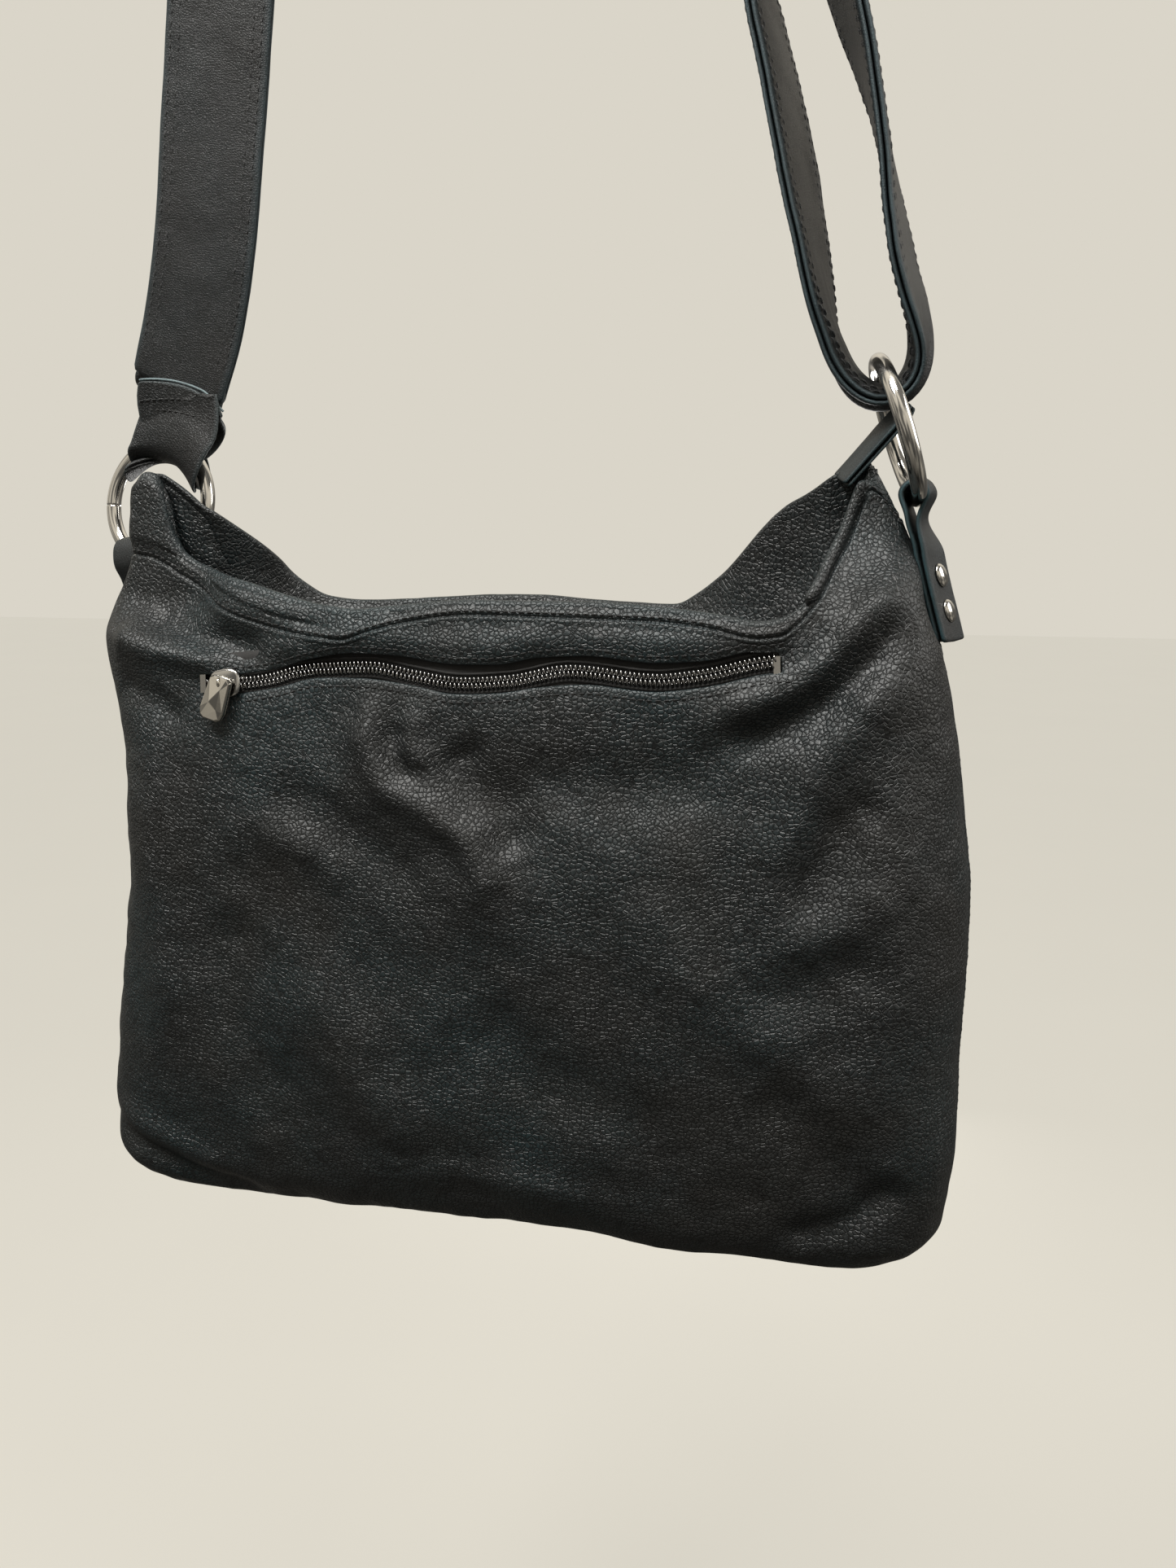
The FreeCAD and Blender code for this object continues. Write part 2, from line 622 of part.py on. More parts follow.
def rivet(zz, sgn, yy):
    """Cap outside the tab, post through tab, panel and lining, flat cap inside."""
    xs = at(zz, 2) if sgn > 0 else at(zz, 1)
    dz = 1.0
    slope = ((at(zz + dz, 2) - at(zz - dz, 2)) if sgn > 0 else (at(zz + dz, 1) - at(zz - dz, 1))) / (2 * dz)
    t = V(slope, 0, 1)
    t.normalize()
    n = V(t.z, 0, -t.x) if sgn > 0 else V(-t.z, 0, t.x)
    base = V(xs, yy, zz)
    o = base + n * 5.35
    post = Part.makeCylinder(PR, 9.7, base - n * 4.2, n)
    cap = Part.makeCylinder(HR, 0.9, o, n)
    dome = Part.makeCone(HR, HR * 0.62, 0.7, o + n * 0.9, n)
    inner_cap = Part.makeCylinder(HR * 0.9, 0.8, base - n * 4.4, n)
    hole = Part.makeCylinder(PR + 0.05, 12.0, base - n * 5.0, n)
    head_room = Part.makeCylinder(HR * 0.9 + 0.1, 1.4, base - n * 4.5, n)
    return post.fuse(cap).fuse(dome).fuse(inner_cap).removeSplitter(), hole, head_room


r_set, l_set, holes = [], [], []
for zz in (-18.0, -31.0):
    rv, hole, room = rivet(zz, 1, R_LOW.y)
    r_set.append(rv)
    holes += [hole]
for zz in (-51.0, -64.0):
    rv, hole, room = rivet(zz, -1, -4.0)
    l_set.append(rv)
    holes += [hole]
for hh in holes:
    right_tab = right_tab.cut(hh)
    left_tab = left_tab.cut(hh)
    front = front.cut(hh)
    back = back.cut(hh)
    liner = liner.cut(hh)
right_tab = main_solid(right_tab)
front = main_solid(front.cut(left_tab).cut(right_tab))
back = main_solid(back.cut(left_tab).cut(right_tab))
soft("right_side_tab", right_tab)
soft("left_side_tab", Part.makeCompound([left_loop, left_tab]))
soft("right_tab_rivets", Part.makeCompound(r_set))
soft("left_tab_rivets", Part.makeCompound(l_set))

# --------------------------------------------------------------- zip end tab
et = body("main_zip_end_tab")
s = sketch(et, "end_tab_outline", "XY_Plane")
rect(s, D["end_tab_len"] - 4.0, D["end_tab_w"], (D["end_tab_len"] - 4.0) / 2, 0.0, ey="dims.end_tab_w")
pad(et, s, D["end_tab_t"], "end_tab_pad", "dims.end_tab_t", mid=True)
s = sketch(et, "end_tab_nose", "XY_Plane")
EL, EW = D["end_tab_len"], D["end_tab_w"] / 2
poly(s, [(EL - 6.0, -EW), (EL - 4.0, -EW), (EL - 1.2, -EW + 2.4), (EL, -EW + 5.5), (EL, EW - 5.5),
         (EL - 1.2, EW - 2.4), (EL - 4.0, EW), (EL - 6.0, EW)])
pad(et, s, D["end_tab_t"], "end_tab_tip", "dims.end_tab_t", mid=True)
ang = math.atan2(42.0 - 21.0, 153.6 - 135.5)
u = V(math.cos(ang), 0, math.sin(ang))
nrm = V(-u.z, 0, u.x)
mt = App.Matrix(u.x, 0, nrm.x, 135.5, u.y, 1, nrm.y, -6.0, u.z, 0, nrm.z, 22.6, 0, 0, 0, 1)
place(et, App.Placement(mt))

# --------------------------------------------------------------- zips
CW, CT, TP, TPT = D["chain_w"], D["chain_t"], D["tape_w"], D["tape_t"]


def long_bar(label, length, depth, height, y0, expr_len, expr_h):
    """Bar along X: height in Z centred on the chain, depth in Y from y0."""
    b = body(label)
    sk = sketch(b, label + "_face", "XZ_Plane")
    rect(sk, length, height, ex=expr_len, ey=expr_h)
    sk.AttachmentOffset = App.Placement(V(0, 0, -y0), App.Rotation())
    f = pad(b, sk, depth, label + "_pad")
    bb = b.Shape.BoundBox
    if bb.YMin < y0 - 1e-6:
        f.Reversed = True
        doc.recompute()
    return b


# Pocket zip. In its frame the leather's outer face is y = 0.
place(long_bar("pocket_zip_tape", D["pocket_zip_len"] + 12, TPT, TP, 2.3, "dims.pocket_zip_len + 12",
               "dims.tape_w"), zip_pl)
place(long_bar("pocket_zip_coil", D["pocket_zip_len"], CT, CW, 2.3 - CT, "dims.pocket_zip_len",
               "dims.chain_w"), zip_pl)
# Main zip, lying in the trough: turned so that its face looks up.
main_pl = App.Placement(V(0, ZIP_Y, ZIP_Z), App.Rotation(V(1, 0, 0), -90))
place(long_bar("main_zip_tape", D["main_zip_len"] + 12, TPT, TP - 2, 0.0, "dims.main_zip_len + 12",
               "dims.tape_w - 2"), main_pl)
place(long_bar("main_zip_coil", D["main_zip_len"], CT, CW, -CT, "dims.main_zip_len", "dims.chain_w"), main_pl)


def stops(label, half, y0, pl):
    a = Part.makeBox(2.4, CT + 0.2, CW + 0.6, V(-half - 2.7, y0 - 0.2, -CW / 2 - 0.3))
    b = Part.makeBox(2.4, CT + 0.2, CW + 0.6, V(half + 0.3, y0 - 0.2, -CW / 2 - 0.3))
    return soft(label, Part.makeCompound([a, b]), pl)


stops("pocket_zip_stops", D["pocket_zip_len"] / 2, 2.3 - CT, zip_pl)
stops("main_zip_stops", D["main_zip_len"] / 2, -CT, main_pl)


def slider_shape(x0, y_face, y_back):
    SLn, hw = D["slider_len"], D["slider_w"] / 2
    pts = [(x0 - SLn / 2, -hw * 0.8), (x0 - SLn / 2 + 2, -hw), (x0 + SLn / 2 - 3, -hw), (x0 + SLn / 2, -hw * 0.7),
           (x0 + SLn / 2, hw * 0.7), (x0 + SLn / 2 - 3, hw), (x0 - SLn / 2 + 2, hw), (x0 - SLn / 2, hw * 0.8)]
    shell = prism(pts, y_face - 1.5, y_face + CT - 0.35)
    groove = Part.makeBox(SLn + 6, 20, CW + 1.3, V(x0 - SLn / 2 - 3, y_face - 0.35, -(CW + 1.3) / 2))
    shell = shell.cut(groove)
    rear = prism(pts, y_back + 0.35, y_back + 1.35)
    # bridge: two feet and a bar along the chain
    foot_a = Part.makeBox(1.6, 2.6, 2.4, V(x0 - 4.6, y_face - 1.5 - 2.4, -1.2))
    foot_b = Part.makeBox(1.6, 2.6, 2.4, V(x0 + 3.0, y_face - 1.5 - 2.4, -1.2))
    bar = Part.makeBox(9.2, 1.2, 1.2, V(x0 - 4.6, y_face - 1.5 - 3.5, -0.6))
    return Part.makeCompound([shell.fuse(foot_a).fuse(foot_b).fuse(bar).removeSplitter(), rear])


PX = -D["pocket_zip_len"] / 2 + D["slider_len"] / 2 + 1.0
MX = D["main_zip_len"] / 2 - D["slider_len"] / 2 - 1.0
soft("pocket_zip_slider", slider_shape(PX, 2.3 - CT, 2.3 + TPT), zip_pl)
soft("main_zip_slider", slider_shape(MX, -CT, TPT), main_pl)

# Pocket pull: a tapered plate under a small eye that rides on the bridge bar.
# In its own frame the bar runs along X through the origin and the plate hangs
# along -Y, its thickness in Z.
PW, PLn, PT = D["pull_w"], D["pull_len"], D["pull_t"]
pp = body("pocket_zip_pull")
sk = sketch(pp, "pull_plan", "XY_Plane")
poly(sk, [(-2.6, -1.8), (2.6, -1.8), (4.2, -4.5), (PW / 2, -PLn + 7.0), (PW / 2 - 1.2, -PLn + 2.2),
          (-PW / 2 + 1.2, -PLn + 2.2), (-PW / 2, -PLn + 7.0), (-4.2, -4.5)])
pad(pp, sk, PT, "pull_plate", "dims.pull_t", mid=True)
sk = sketch(pp, "pull_eye", "YZ_Plane")
import Sketcher
g = sk.addGeometry(Part.Circle(V(0, 0, 0), V(0, 0, 1), 2.25), False)
c = sk.addConstraint(Sketcher.Constraint("Radius", g, 2.25))
pad(pp, sk, 1.8, "eye_boss", mid=True)
sk = sketch(pp, "pull_eye_hole", "YZ_Plane")
g = sk.addGeometry(Part.Circle(V(0, 0, 0), V(0, 0, 1), 1.15), False)
pocket(pp, sk, "eye_hole", length=None)
py = 2.3 - CT - 1.5 - 2.9
pocket_hook = zip_pl.multVec(V(PX, py, 0))
place(pp, zip_pl.multiply(App.Placement(V(PX, py, 0), App.Rotation(V(1, 0, 0), 90))))

# Main pull: a pin under the bridge, two cheeks past its foot, and the plate.
# It lies along the chain over the slider, pointing to the left.
mp = body("main_zip_pull")
sk = sketch(mp, "main_pull_plan", "XY_Plane")
poly(sk, [(-4.0, 0.6), (4.0, 0.6), (4.4, -5.5), (PW / 2, -PLn + 7.0), (PW / 2 - 1.2, -PLn + 2.2),
          (-PW / 2 + 1.2, -PLn + 2.2), (-PW / 2, -PLn + 7.0), (-4.4, -5.5)])
pad(mp, sk, 1.2, "main_pull_plate", mid=True)
sk = sketch(mp, "main_pull_window", "XY_Plane")
rect(sk, 3.4, 6.0, 0, -3.6)
pocket(mp, sk, "main_pull_cut")
main_hook = main_pl.multVec(V(MX, -CT - 1.5 - 1.2, 0))
place(mp, main_pl.multiply(App.Placement(V(MX, -CT - 1.5 - 1.2, 0), App.Rotation(V(1, 0, 0), 90))).multiply(
    App.Placement(V(0, 0, 0), App.Rotation(V(0, 0, 1), -90))))

# --------------------------------------------------------------- pocket bag
px0, px1, pyy0, pyy1, pz0, pz1, cl = -116.0, 114.0, -36.0, -26.0, -190.0, -52.0, 0.6
pouch = Part.makeBox(px1 - px0, pyy1 - pyy0, pz1 - pz0, V(px0, pyy0, pz0))
pouch = pouch.cut(Part.makeBox(px1 - px0 - 2 * cl, pyy1 - pyy0 - 2 * cl, pz1 - pz0 - 2 * cl,
                               V(px0 + cl, pyy0 + cl, pz0 + cl)))
pouch = pouch.cut(Part.makeBox(px1 - px0 - 8, 4, 16, V(px0 + 4, pyy0 - 2, pz1 - 18)))
soft("pocket_bag", pouch)
soft("lining", main_solid(liner))
soft("front_top_facing", front_facing)
soft("back_top_facing", back_facing)
soft("front_panel", front)
soft("back_panel", back)

# --------------------------------------------------------------- write
doc.recompute()
bad = [o.Name for o in doc.Objects if any(k in ("Invalid", "Error") for k in o.State)]
if bad:
    raise RuntimeError("failed objects: %s" % bad)
for o in PARTS:
    sh = o.Shape
    if sh.isNull() or not sh.isValid() or not sh.Solids:
        raise RuntimeError("bad shape: %s" % o.Label)
    print("%-22s solids %s" % (o.Label, [round(q.Volume, 1) for q in sh.Solids]))
print("pocket pull pivot", [round(c, 2) for c in pocket_hook - ORIGIN])
print("main pull pivot", [round(c, 2) for c in main_hook - ORIGIN])
print("left ring centre", [round(c, 2) for c in V(-157.4, 3.0, 11.0) - ORIGIN], "normal", n_l)
print("right ring centre", [round(c, 2) for c in V(150.5, -5.0, 35.0) - ORIGIN], "normal", R_RING[1])
print("tab bearings", [round(c, 2) for c in L_LOW - ORIGIN], [round(c, 2) for c in R_LOW - ORIGIN])
os.makedirs("parts", exist_ok=True)
for o in PARTS:
    o.Shape.exportStep("parts/%s.step" % o.Label)
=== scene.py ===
import math

import bpy
import numpy as np
from mathutils import Matrix, Vector


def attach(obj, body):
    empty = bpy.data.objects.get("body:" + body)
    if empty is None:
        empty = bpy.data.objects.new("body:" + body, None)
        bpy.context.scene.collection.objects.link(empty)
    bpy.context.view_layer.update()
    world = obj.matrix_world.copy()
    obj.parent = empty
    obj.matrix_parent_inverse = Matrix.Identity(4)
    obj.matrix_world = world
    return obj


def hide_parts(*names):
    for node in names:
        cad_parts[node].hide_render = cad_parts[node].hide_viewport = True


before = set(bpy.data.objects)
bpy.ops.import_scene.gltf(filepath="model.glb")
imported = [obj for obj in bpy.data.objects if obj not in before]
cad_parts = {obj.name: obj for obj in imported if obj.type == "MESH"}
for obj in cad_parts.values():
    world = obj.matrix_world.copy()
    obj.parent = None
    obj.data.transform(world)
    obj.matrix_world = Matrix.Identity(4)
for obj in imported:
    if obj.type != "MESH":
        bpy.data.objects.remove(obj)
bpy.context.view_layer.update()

ORIGIN = np.array([-29.35, -3.0, 630.23])
scene = bpy.context.scene


# ------------------------------------------------------------------ helpers
def V3(*a):
    return np.array(a, float)


def unit(v):
    return v / max(np.linalg.norm(v), 1e-12)


def S(x):
    x = np.clip(x, 0, 1)
    return x * x * (3 - 2 * x)


def pchip(xs, ys, q):
    """Shape-preserving cubic through points, end slopes one-sided."""
    xs, ys, q = np.asarray(xs, float), np.asarray(ys, float), np.asarray(q, float)
    h = np.diff(xs)
    d = np.diff(ys) / h
    m = np.zeros(len(xs))
    m[0], m[-1] = d[0], d[-1]
    for i in range(1, len(xs) - 1):
        if d[i - 1] * d[i] > 0:
            w1, w2 = 2 * h[i] + h[i - 1], h[i] + 2 * h[i - 1]
            m[i] = (w1 + w2) / (w1 / d[i - 1] + w2 / d[i])
    qq = np.clip(q, xs[0], xs[-1])
    k = np.clip(np.searchsorted(xs, qq) - 1, 0, len(xs) - 2)
    t = (qq - xs[k]) / h[k]
    return ((2 * t ** 3 - 3 * t ** 2 + 1) * ys[k] + (t ** 3 - 2 * t ** 2 + t) * h[k] * m[k]
            + (-2 * t ** 3 + 3 * t ** 2) * ys[k + 1] + (t ** 3 - t ** 2) * h[k] * m[k + 1])


def smooth_path(pts, step=3.0, closed=False):
    """Catmull-Rom through pts (rows may carry more than three numbers), then
    spaced about step apart."""
    p = np.asarray(pts, float)
    n = len(p)
    out = []
    segs = n if closed else n - 1
    for i in range(segs):
        if closed:
            a, b, c, d = p[(i - 1) % n], p[i], p[(i + 1) % n], p[(i + 2) % n]
        else:
            a = p[i - 1] if i else 2 * p[0] - p[1]
            b, c = p[i], p[i + 1]
            d = p[i + 2] if i + 2 < n else 2 * p[-1] - p[-2]
        t01 = max(np.linalg.norm((b - a)[:3]) ** 0.5, 1e-4)
        t12 = max(np.linalg.norm((c - b)[:3]) ** 0.5, 1e-4)
        t23 = max(np.linalg.norm((d - c)[:3]) ** 0.5, 1e-4)
        m1 = (c - b) + t12 * ((b - a) / t01 - (c - a) / (t01 + t12))
        m2 = (c - b) + t12 * ((d - c) / t23 - (d - b) / (t12 + t23))
        k = max(2, int(np.ceil(np.linalg.norm((c - b)[:3]) / (step * 0.25))))
        for j in range(k):
            t = j / k
            out.append((2 * t ** 3 - 3 * t ** 2 + 1) * b + (t ** 3 - 2 * t ** 2 + t) * m1
                       + (-2 * t ** 3 + 3 * t ** 2) * c + (t ** 3 - t ** 2) * m2)
    out.append(p[0] if closed else p[-1])
    out = np.array(out)
    L = np.concatenate([[0], np.cumsum(np.linalg.norm(np.diff(out[:, :3], axis=0), axis=1))])
    m = max(2, int(round(L[-1] / step)))
    q = np.linspace(0, L[-1], m + 1)
    res = np.stack([np.interp(q, L, out[:, c]) for c in range(out.shape[1])], 1)
    return res[:-1] if closed else res


_rng = np.random.default_rng(7)
_LAT = _rng.random((64, 64)) * 2 - 1


def noise2(u, v, seed=0):
    """Smooth value noise, about -1..1, period 64."""
    u = np.asarray(u, float) + seed * 7.31
    v = np.asarray(v, float) + seed * 3.17
    iu, iv = np.floor(u).astype(int), np.floor(v).astype(int)
    fu, fv = u - iu, v - iv
    fu, fv = fu ** 3 * (fu * (fu * 6 - 15) + 10), fv ** 3 * (fv * (fv * 6 - 15) + 10)
    g = lambda a, b: _LAT[(iu + a) % 64, (iv + b) % 64]
    return ((g(0, 0) * (1 - fu) + g(1, 0) * fu) * (1 - fv) + (g(0, 1) * (1 - fu) + g(1, 1) * fu) * fv)


def dist_poly(x, z, pts):
    """Distance from (x, z) to an open polyline, and how far along it (0..1)."""
    best = np.full(np.shape(x), 1e9)
    along = np.zeros(np.shape(x))
    n = len(pts) - 1
    for i in range(n):
        a, b = np.array(pts[i], float), np.array(pts[i + 1], float)
        d = b - a
        t = np.clip(((x - a[0]) * d[0] + (z - a[1]) * d[1]) / (d @ d), 0, 1)
        r = np.hypot(x - a[0] - t * d[0], z - a[1] - t * d[1])
        along = np.where(r < best, (i + t) / n, along)
        best = np.minimum(best, r)
    return best, along


def to_m(P):
    return (np.asarray(P, float) - ORIGIN) / 1000.0


def mesh(name, verts_mm, faces, mats, smooth=True, body="bag", slot=None, attr=None, face_mat=None):
    me = bpy.data.meshes.new(name)
    me.from_pydata([tuple(v) for v in to_m(verts_mm)], [], [tuple(int(i) for i in f) for f in faces])
    me.validate()
    ob = bpy.data.objects.new(name, me)
    scene.collection.objects.link(ob)
    for m in mats:
        me.materials.append(m)
    if smooth:
        me.polygons.foreach_set("use_smooth", [True] * len(me.polygons))
    if attr is not None:
        a = me.attributes.new("wear", "FLOAT", "POINT")
        a.data.foreach_set("value", np.asarray(attr, np.float32).ravel())
    if face_mat is not None:
        me.polygons.foreach_set("material_index", np.asarray(face_mat, np.int32))
    me.update()
    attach(ob, body)
    return ob


def grid_faces(nr, nc, closed_c=False, closed_r=False, flip=False, skip=None, base=0):
    f = []
    for i in range(nr if closed_r else nr - 1):
        for j in range(nc if closed_c else nc - 1):
            if skip is not None and skip(i, j):
                continue
            a, b = i * nc + j, i * nc + (j + 1) % nc
            c, d = ((i + 1) % nr) * nc + (j + 1) % nc, ((i + 1) % nr) * nc + j
            f.append((base + a, base + d, base + c, base + b) if flip else (base + a, base + b, base + c, base + d))
    return f


def frames_along(P, closed=False):
    """Tangents of a path and a normal carried along it without twist."""
    P = np.asarray(P, float)
    n = len(P)
    if closed:
        T = np.roll(P, -1, 0) - np.roll(P, 1, 0)
    else:
        T = np.gradient(P, axis=0)
    T /= np.maximum(np.linalg.norm(T, axis=1), 1e-9)[:, None]
    a = V3(0, 0, 1) if abs(T[0][2]) < 0.9 else V3(1, 0, 0)
    N = [unit(a - T[0] * (a @ T[0]))]
    for i in range(1, n):
        N.append(unit(N[-1] - T[i] * (N[-1] @ T[i])))
    N = np.array(N)
    return T, N, np.cross(T, N)


def tube(P, r, sides=10, closed=False, cap=True):
    """Vertices and faces of a round tube of radius r (number or list)."""
    P = np.asarray(P, float)
    T, N, B = frames_along(P, closed)
    r = np.broadcast_to(np.asarray(r, float), (len(P),))
    a = np.linspace(0, 2 * np.pi, sides, endpoint=False)
    v = (P[:, None] + r[:, None, None] * (np.cos(a)[None, :, None] * N[:, None] + np.sin(a)[None, :, None] * B[:, None]))
    f = grid_faces(len(P), sides, closed_c=True, closed_r=closed)
    v = v.reshape(-1, 3)
    if not closed and cap:
        f.append(tuple(range(sides))[::-1])
        f.append(tuple(range((len(P) - 1) * sides, len(P) * sides)))
    return v, f


class Bag:
    """Collects pieces of mesh that become one object."""

    def __init__(self):
        self.v, self.f, self.n, self.w = [], [], 0, []

    def add(self, v, f, w=None):
        v = np.asarray(v, float).reshape(-1, 3)
        self.v.append(v)
        self.f += [tuple(i + self.n for i in q) for q in f]
        self.w.append(np.zeros(len(v)) if w is None else np.broadcast_to(w, (len(v),)).astype(float))
        self.n += len(v)

    def make(self, name, mats, **k):
        return mesh(name, np.concatenate(self.v), self.f, mats, attr=np.concatenate(self.w), **k)


def stitch_row(bag, P, N, pitch=3.6, length=2.5, r=0.42, lift=0.0):
    r = r * 0.82
    """Thread stitches along path P with surface normals N."""
    P, N = np.asarray(P, float), np.asarray(N, float)
    L = np.concatenate([[0], np.cumsum(np.linalg.norm(np.diff(P, axis=0), axis=1))])
    q = np.arange(pitch * 0.5, L[-1] - pitch * 0.4, pitch)
    prof = [(-0.5, 0.25, -0.55), (-0.36, 0.85, 0.1), (0.0, 1.0, 0.35), (0.36, 0.85, 0.1), (0.5, 0.25, -0.55)]
    sides = 6
    for s in q:
        p = np.array([np.interp(s, L, P[:, c]) for c in range(3)])
        p2 = np.array([np.interp(min(s + 0.5, L[-1]), L, P[:, c]) for c in range(3)])
        n = unit(np.array([np.interp(s, L, N[:, c]) for c in range(3)]))
        t = unit(p2 - p) if s + 0.5 < L[-1] else unit(p - np.array([np.interp(s - 0.5, L, P[:, c]) for c in range(3)]))
        b = unit(np.cross(t, n))
        vs = []
        for u, rr, h in prof:
            for k in range(sides):
                a = 2 * math.pi * k / sides
                vs.append(p + t * u * length + n * (lift + h * r + rr * r * math.sin(a)) + b * rr * r * math.cos(a))
        f = grid_faces(5, sides, closed_c=True)
        f.append(tuple(range(sides))[::-1])
        f.append(tuple(range(4 * sides, 5 * sides)))
        bag.add(vs, f)


# ------------------------------------------------------------------ materials
def node_mat(name):
    m = bpy.data.materials.new(name)
    m.use_nodes = True
    nt = m.node_tree
    nt.nodes.clear()
    out = nt.nodes.new("ShaderNodeOutputMaterial")
    b = nt.nodes.new("ShaderNodeBsdfPrincipled")
    nt.links.new(b.outputs[0], out.inputs[0])
    return m, nt, b


def mk(nt, kind, **props):
    n = nt.nodes.new(kind)
    for k, v in props.items():
        if k in n.inputs.keys() if hasattr(n.inputs, "keys") else False:
            n.inputs[k].default_value = v
        else:
            setattr(n, k, v)
    return n


def math_node(nt, op, a, b=None, clamp=False):
    n = nt.nodes.new("ShaderNodeMath")
    n.operation = op
    n.use_clamp = clamp
    for i, v in enumerate((a, b)):
        if v is None:
            continue
        if hasattr(v, "is_output"):
            nt.links.new(v, n.inputs[i])
        else:
            n.inputs[i].default_value = v
    return n.outputs[0]


def mix_col(nt, fac, a, b):
    n = nt.nodes.new("ShaderNodeMix")
    n.data_type = "RGBA"
    for i, v in ((0, fac), (6, a), (7, b)):
        if hasattr(v, "is_output"):
            nt.links.new(v, n.inputs[i])
        else:
            n.inputs[i].default_value = v
    return n.outputs[2]


def ramp(nt, fac, stops):
    n = nt.nodes.new("ShaderNodeValToRGB")
    e = n.color_ramp.elements
    e[0].position, e[0].color = stops[0]
    e[1].position, e[1].color = stops[-1]
    for p, c in stops[1:-1]:
        q = e.new(p)
        q.color = c
    nt.links.new(fac, n.inputs[0])
    return n.outputs[0]


def tex_noise(nt, vec, scale, detail=3.0, rough=0.5, dist=0.0):
    n = nt.nodes.new("ShaderNodeTexNoise")
    n.inputs["Scale"].default_value = scale
    n.inputs["Detail"].default_value = detail
    n.inputs["Roughness"].default_value = rough
    n.inputs["Distortion"].default_value = dist
    nt.links.new(vec, n.inputs["Vector"])
    return n


def g(v):
    """sRGB 0..255 grey or triple to linear RGBA."""
    t = (v, v, v) if not hasattr(v, "__len__") else v
    lin = [((c / 255) / 12.92 if c / 255 <= 0.04045 else (((c / 255) + 0.055) / 1.055) ** 2.4) for c in t]
    return (lin[0], lin[1], lin[2], 1.0)


def leather(name, dark, teal, brown, raw, rough=0.42, grain=820.0, bump=0.55, coat=0.12, cell_dist=0.00045):
    m, nt, b = node_mat(name)
    tc = nt.nodes.new("ShaderNodeTexCoord")
    vec = tc.outputs["Object"]
    # warp the grain a little so that the pebbles are not even
    nz = tex_noise(nt, vec, 95.0, 2.0)
    mixv = nt.nodes.new("ShaderNodeMix")
    mixv.data_type = "VECTOR"
    mixv.inputs[0].default_value = 0.0016
    nt.links.new(vec, mixv.inputs[4])
    nt.links.new(nz.outputs["Color"], mixv.inputs[5])
    warped = mixv.outputs[1]
    vo = nt.nodes.new("ShaderNodeTexVoronoi")
    vo.feature = "DISTANCE_TO_EDGE"
    vo.inputs["Scale"].default_value = grain
    nt.links.new(warped, vo.inputs["Vector"])
    cells = ramp(nt, vo.outputs["Distance"], [(0.0, (0, 0, 0, 1)), (0.12, (0.62, 0.62, 0.62, 1)), (0.45, (1, 1, 1, 1))])
    vo2 = nt.nodes.new("ShaderNodeTexVoronoi")
    vo2.inputs["Scale"].default_value = grain * 0.43
    nt.links.new(warped, vo2.inputs["Vector"])
    fine = tex_noise(nt, vec, grain * 3.1, 3.0, 0.6)
    mid = tex_noise(nt, vec, 140.0, 4.0, 0.6)
    big = tex_noise(nt, vec, 13.0, 4.0, 0.55)
    big2 = tex_noise(nt, vec, 24.0, 3.0, 0.5)
    h = math_node(nt, "MULTIPLY", cells, 0.75)
    h = math_node(nt, "ADD", h, math_node(nt, "MULTIPLY", vo2.outputs["Distance"], 0.35))
    h = math_node(nt, "ADD", h, math_node(nt, "MULTIPLY", fine.outputs["Fac"], 0.22))
    h = math_node(nt, "ADD", h, math_node(nt, "MULTIPLY", mid.outputs["Fac"], 1.3))
    bp = nt.nodes.new("ShaderNodeBump")
    bp.inputs["Strength"].default_value = bump
    bp.inputs["Distance"].default_value = cell_dist
    nt.links.new(h, bp.inputs["Height"])
    nt.links.new(bp.outputs[0], b.inputs["Normal"])
    patch = ramp(nt, big.outputs["Fac"], [(0.38, (0, 0, 0, 1)), (0.62, (1, 1, 1, 1))])
    patch2 = ramp(nt, big2.outputs["Fac"], [(0.45, (0, 0, 0, 1)), (0.7, (1, 1, 1, 1))])
    col = mix_col(nt, patch, dark, teal)
    col = mix_col(nt, math_node(nt, "MULTIPLY", patch2, 0.6), col, brown)
    # painted shade in the pits between the pebbles and a painted highlight on their tops: the colour is multiplied by
    # the grain cells, darker in the pits and a touch lighter on the tops
    painted_grain_shade_and_highlight = math_node(nt, "ADD", math_node(nt, "MULTIPLY", cells, 1.05), 0.18)
    mul = nt.nodes.new("ShaderNodeMix")
    mul.data_type = "RGBA"
    mul.blend_type = "MULTIPLY"
    mul.inputs[0].default_value = 1.0
    nt.links.new(col, mul.inputs[6])
    nt.links.new(painted_grain_shade_and_highlight, mul.inputs[7])
    col = mul.outputs[2]
    at = nt.nodes.new("ShaderNodeAttribute")
    at.attribute_name = "wear"
    wear = math_node(nt, "MULTIPLY", at.outputs["Fac"],
                     math_node(nt, "ADD", math_node(nt, "MULTIPLY", mid.outputs["Fac"], 1.1), 0.35), clamp=True)
    col = mix_col(nt, wear, col, raw)
    nt.links.new(col, b.inputs["Base Color"])
    r = math_node(nt, "ADD", math_node(nt, "MULTIPLY", big2.outputs["Fac"], 0.16), rough - 0.08)
    r = math_node(nt, "ADD", r, math_node(nt, "MULTIPLY", fine.outputs["Fac"], 0.1))
    r = math_node(nt, "ADD", r, math_node(nt, "MULTIPLY", wear, 0.25), clamp=True)
    nt.links.new(r, b.inputs["Roughness"])
    b.inputs["Coat Weight"].default_value = coat
    b.inputs["Coat Roughness"].default_value = 0.32
    b.inputs["Specular IOR Level"].default_value = 0.5
    return m


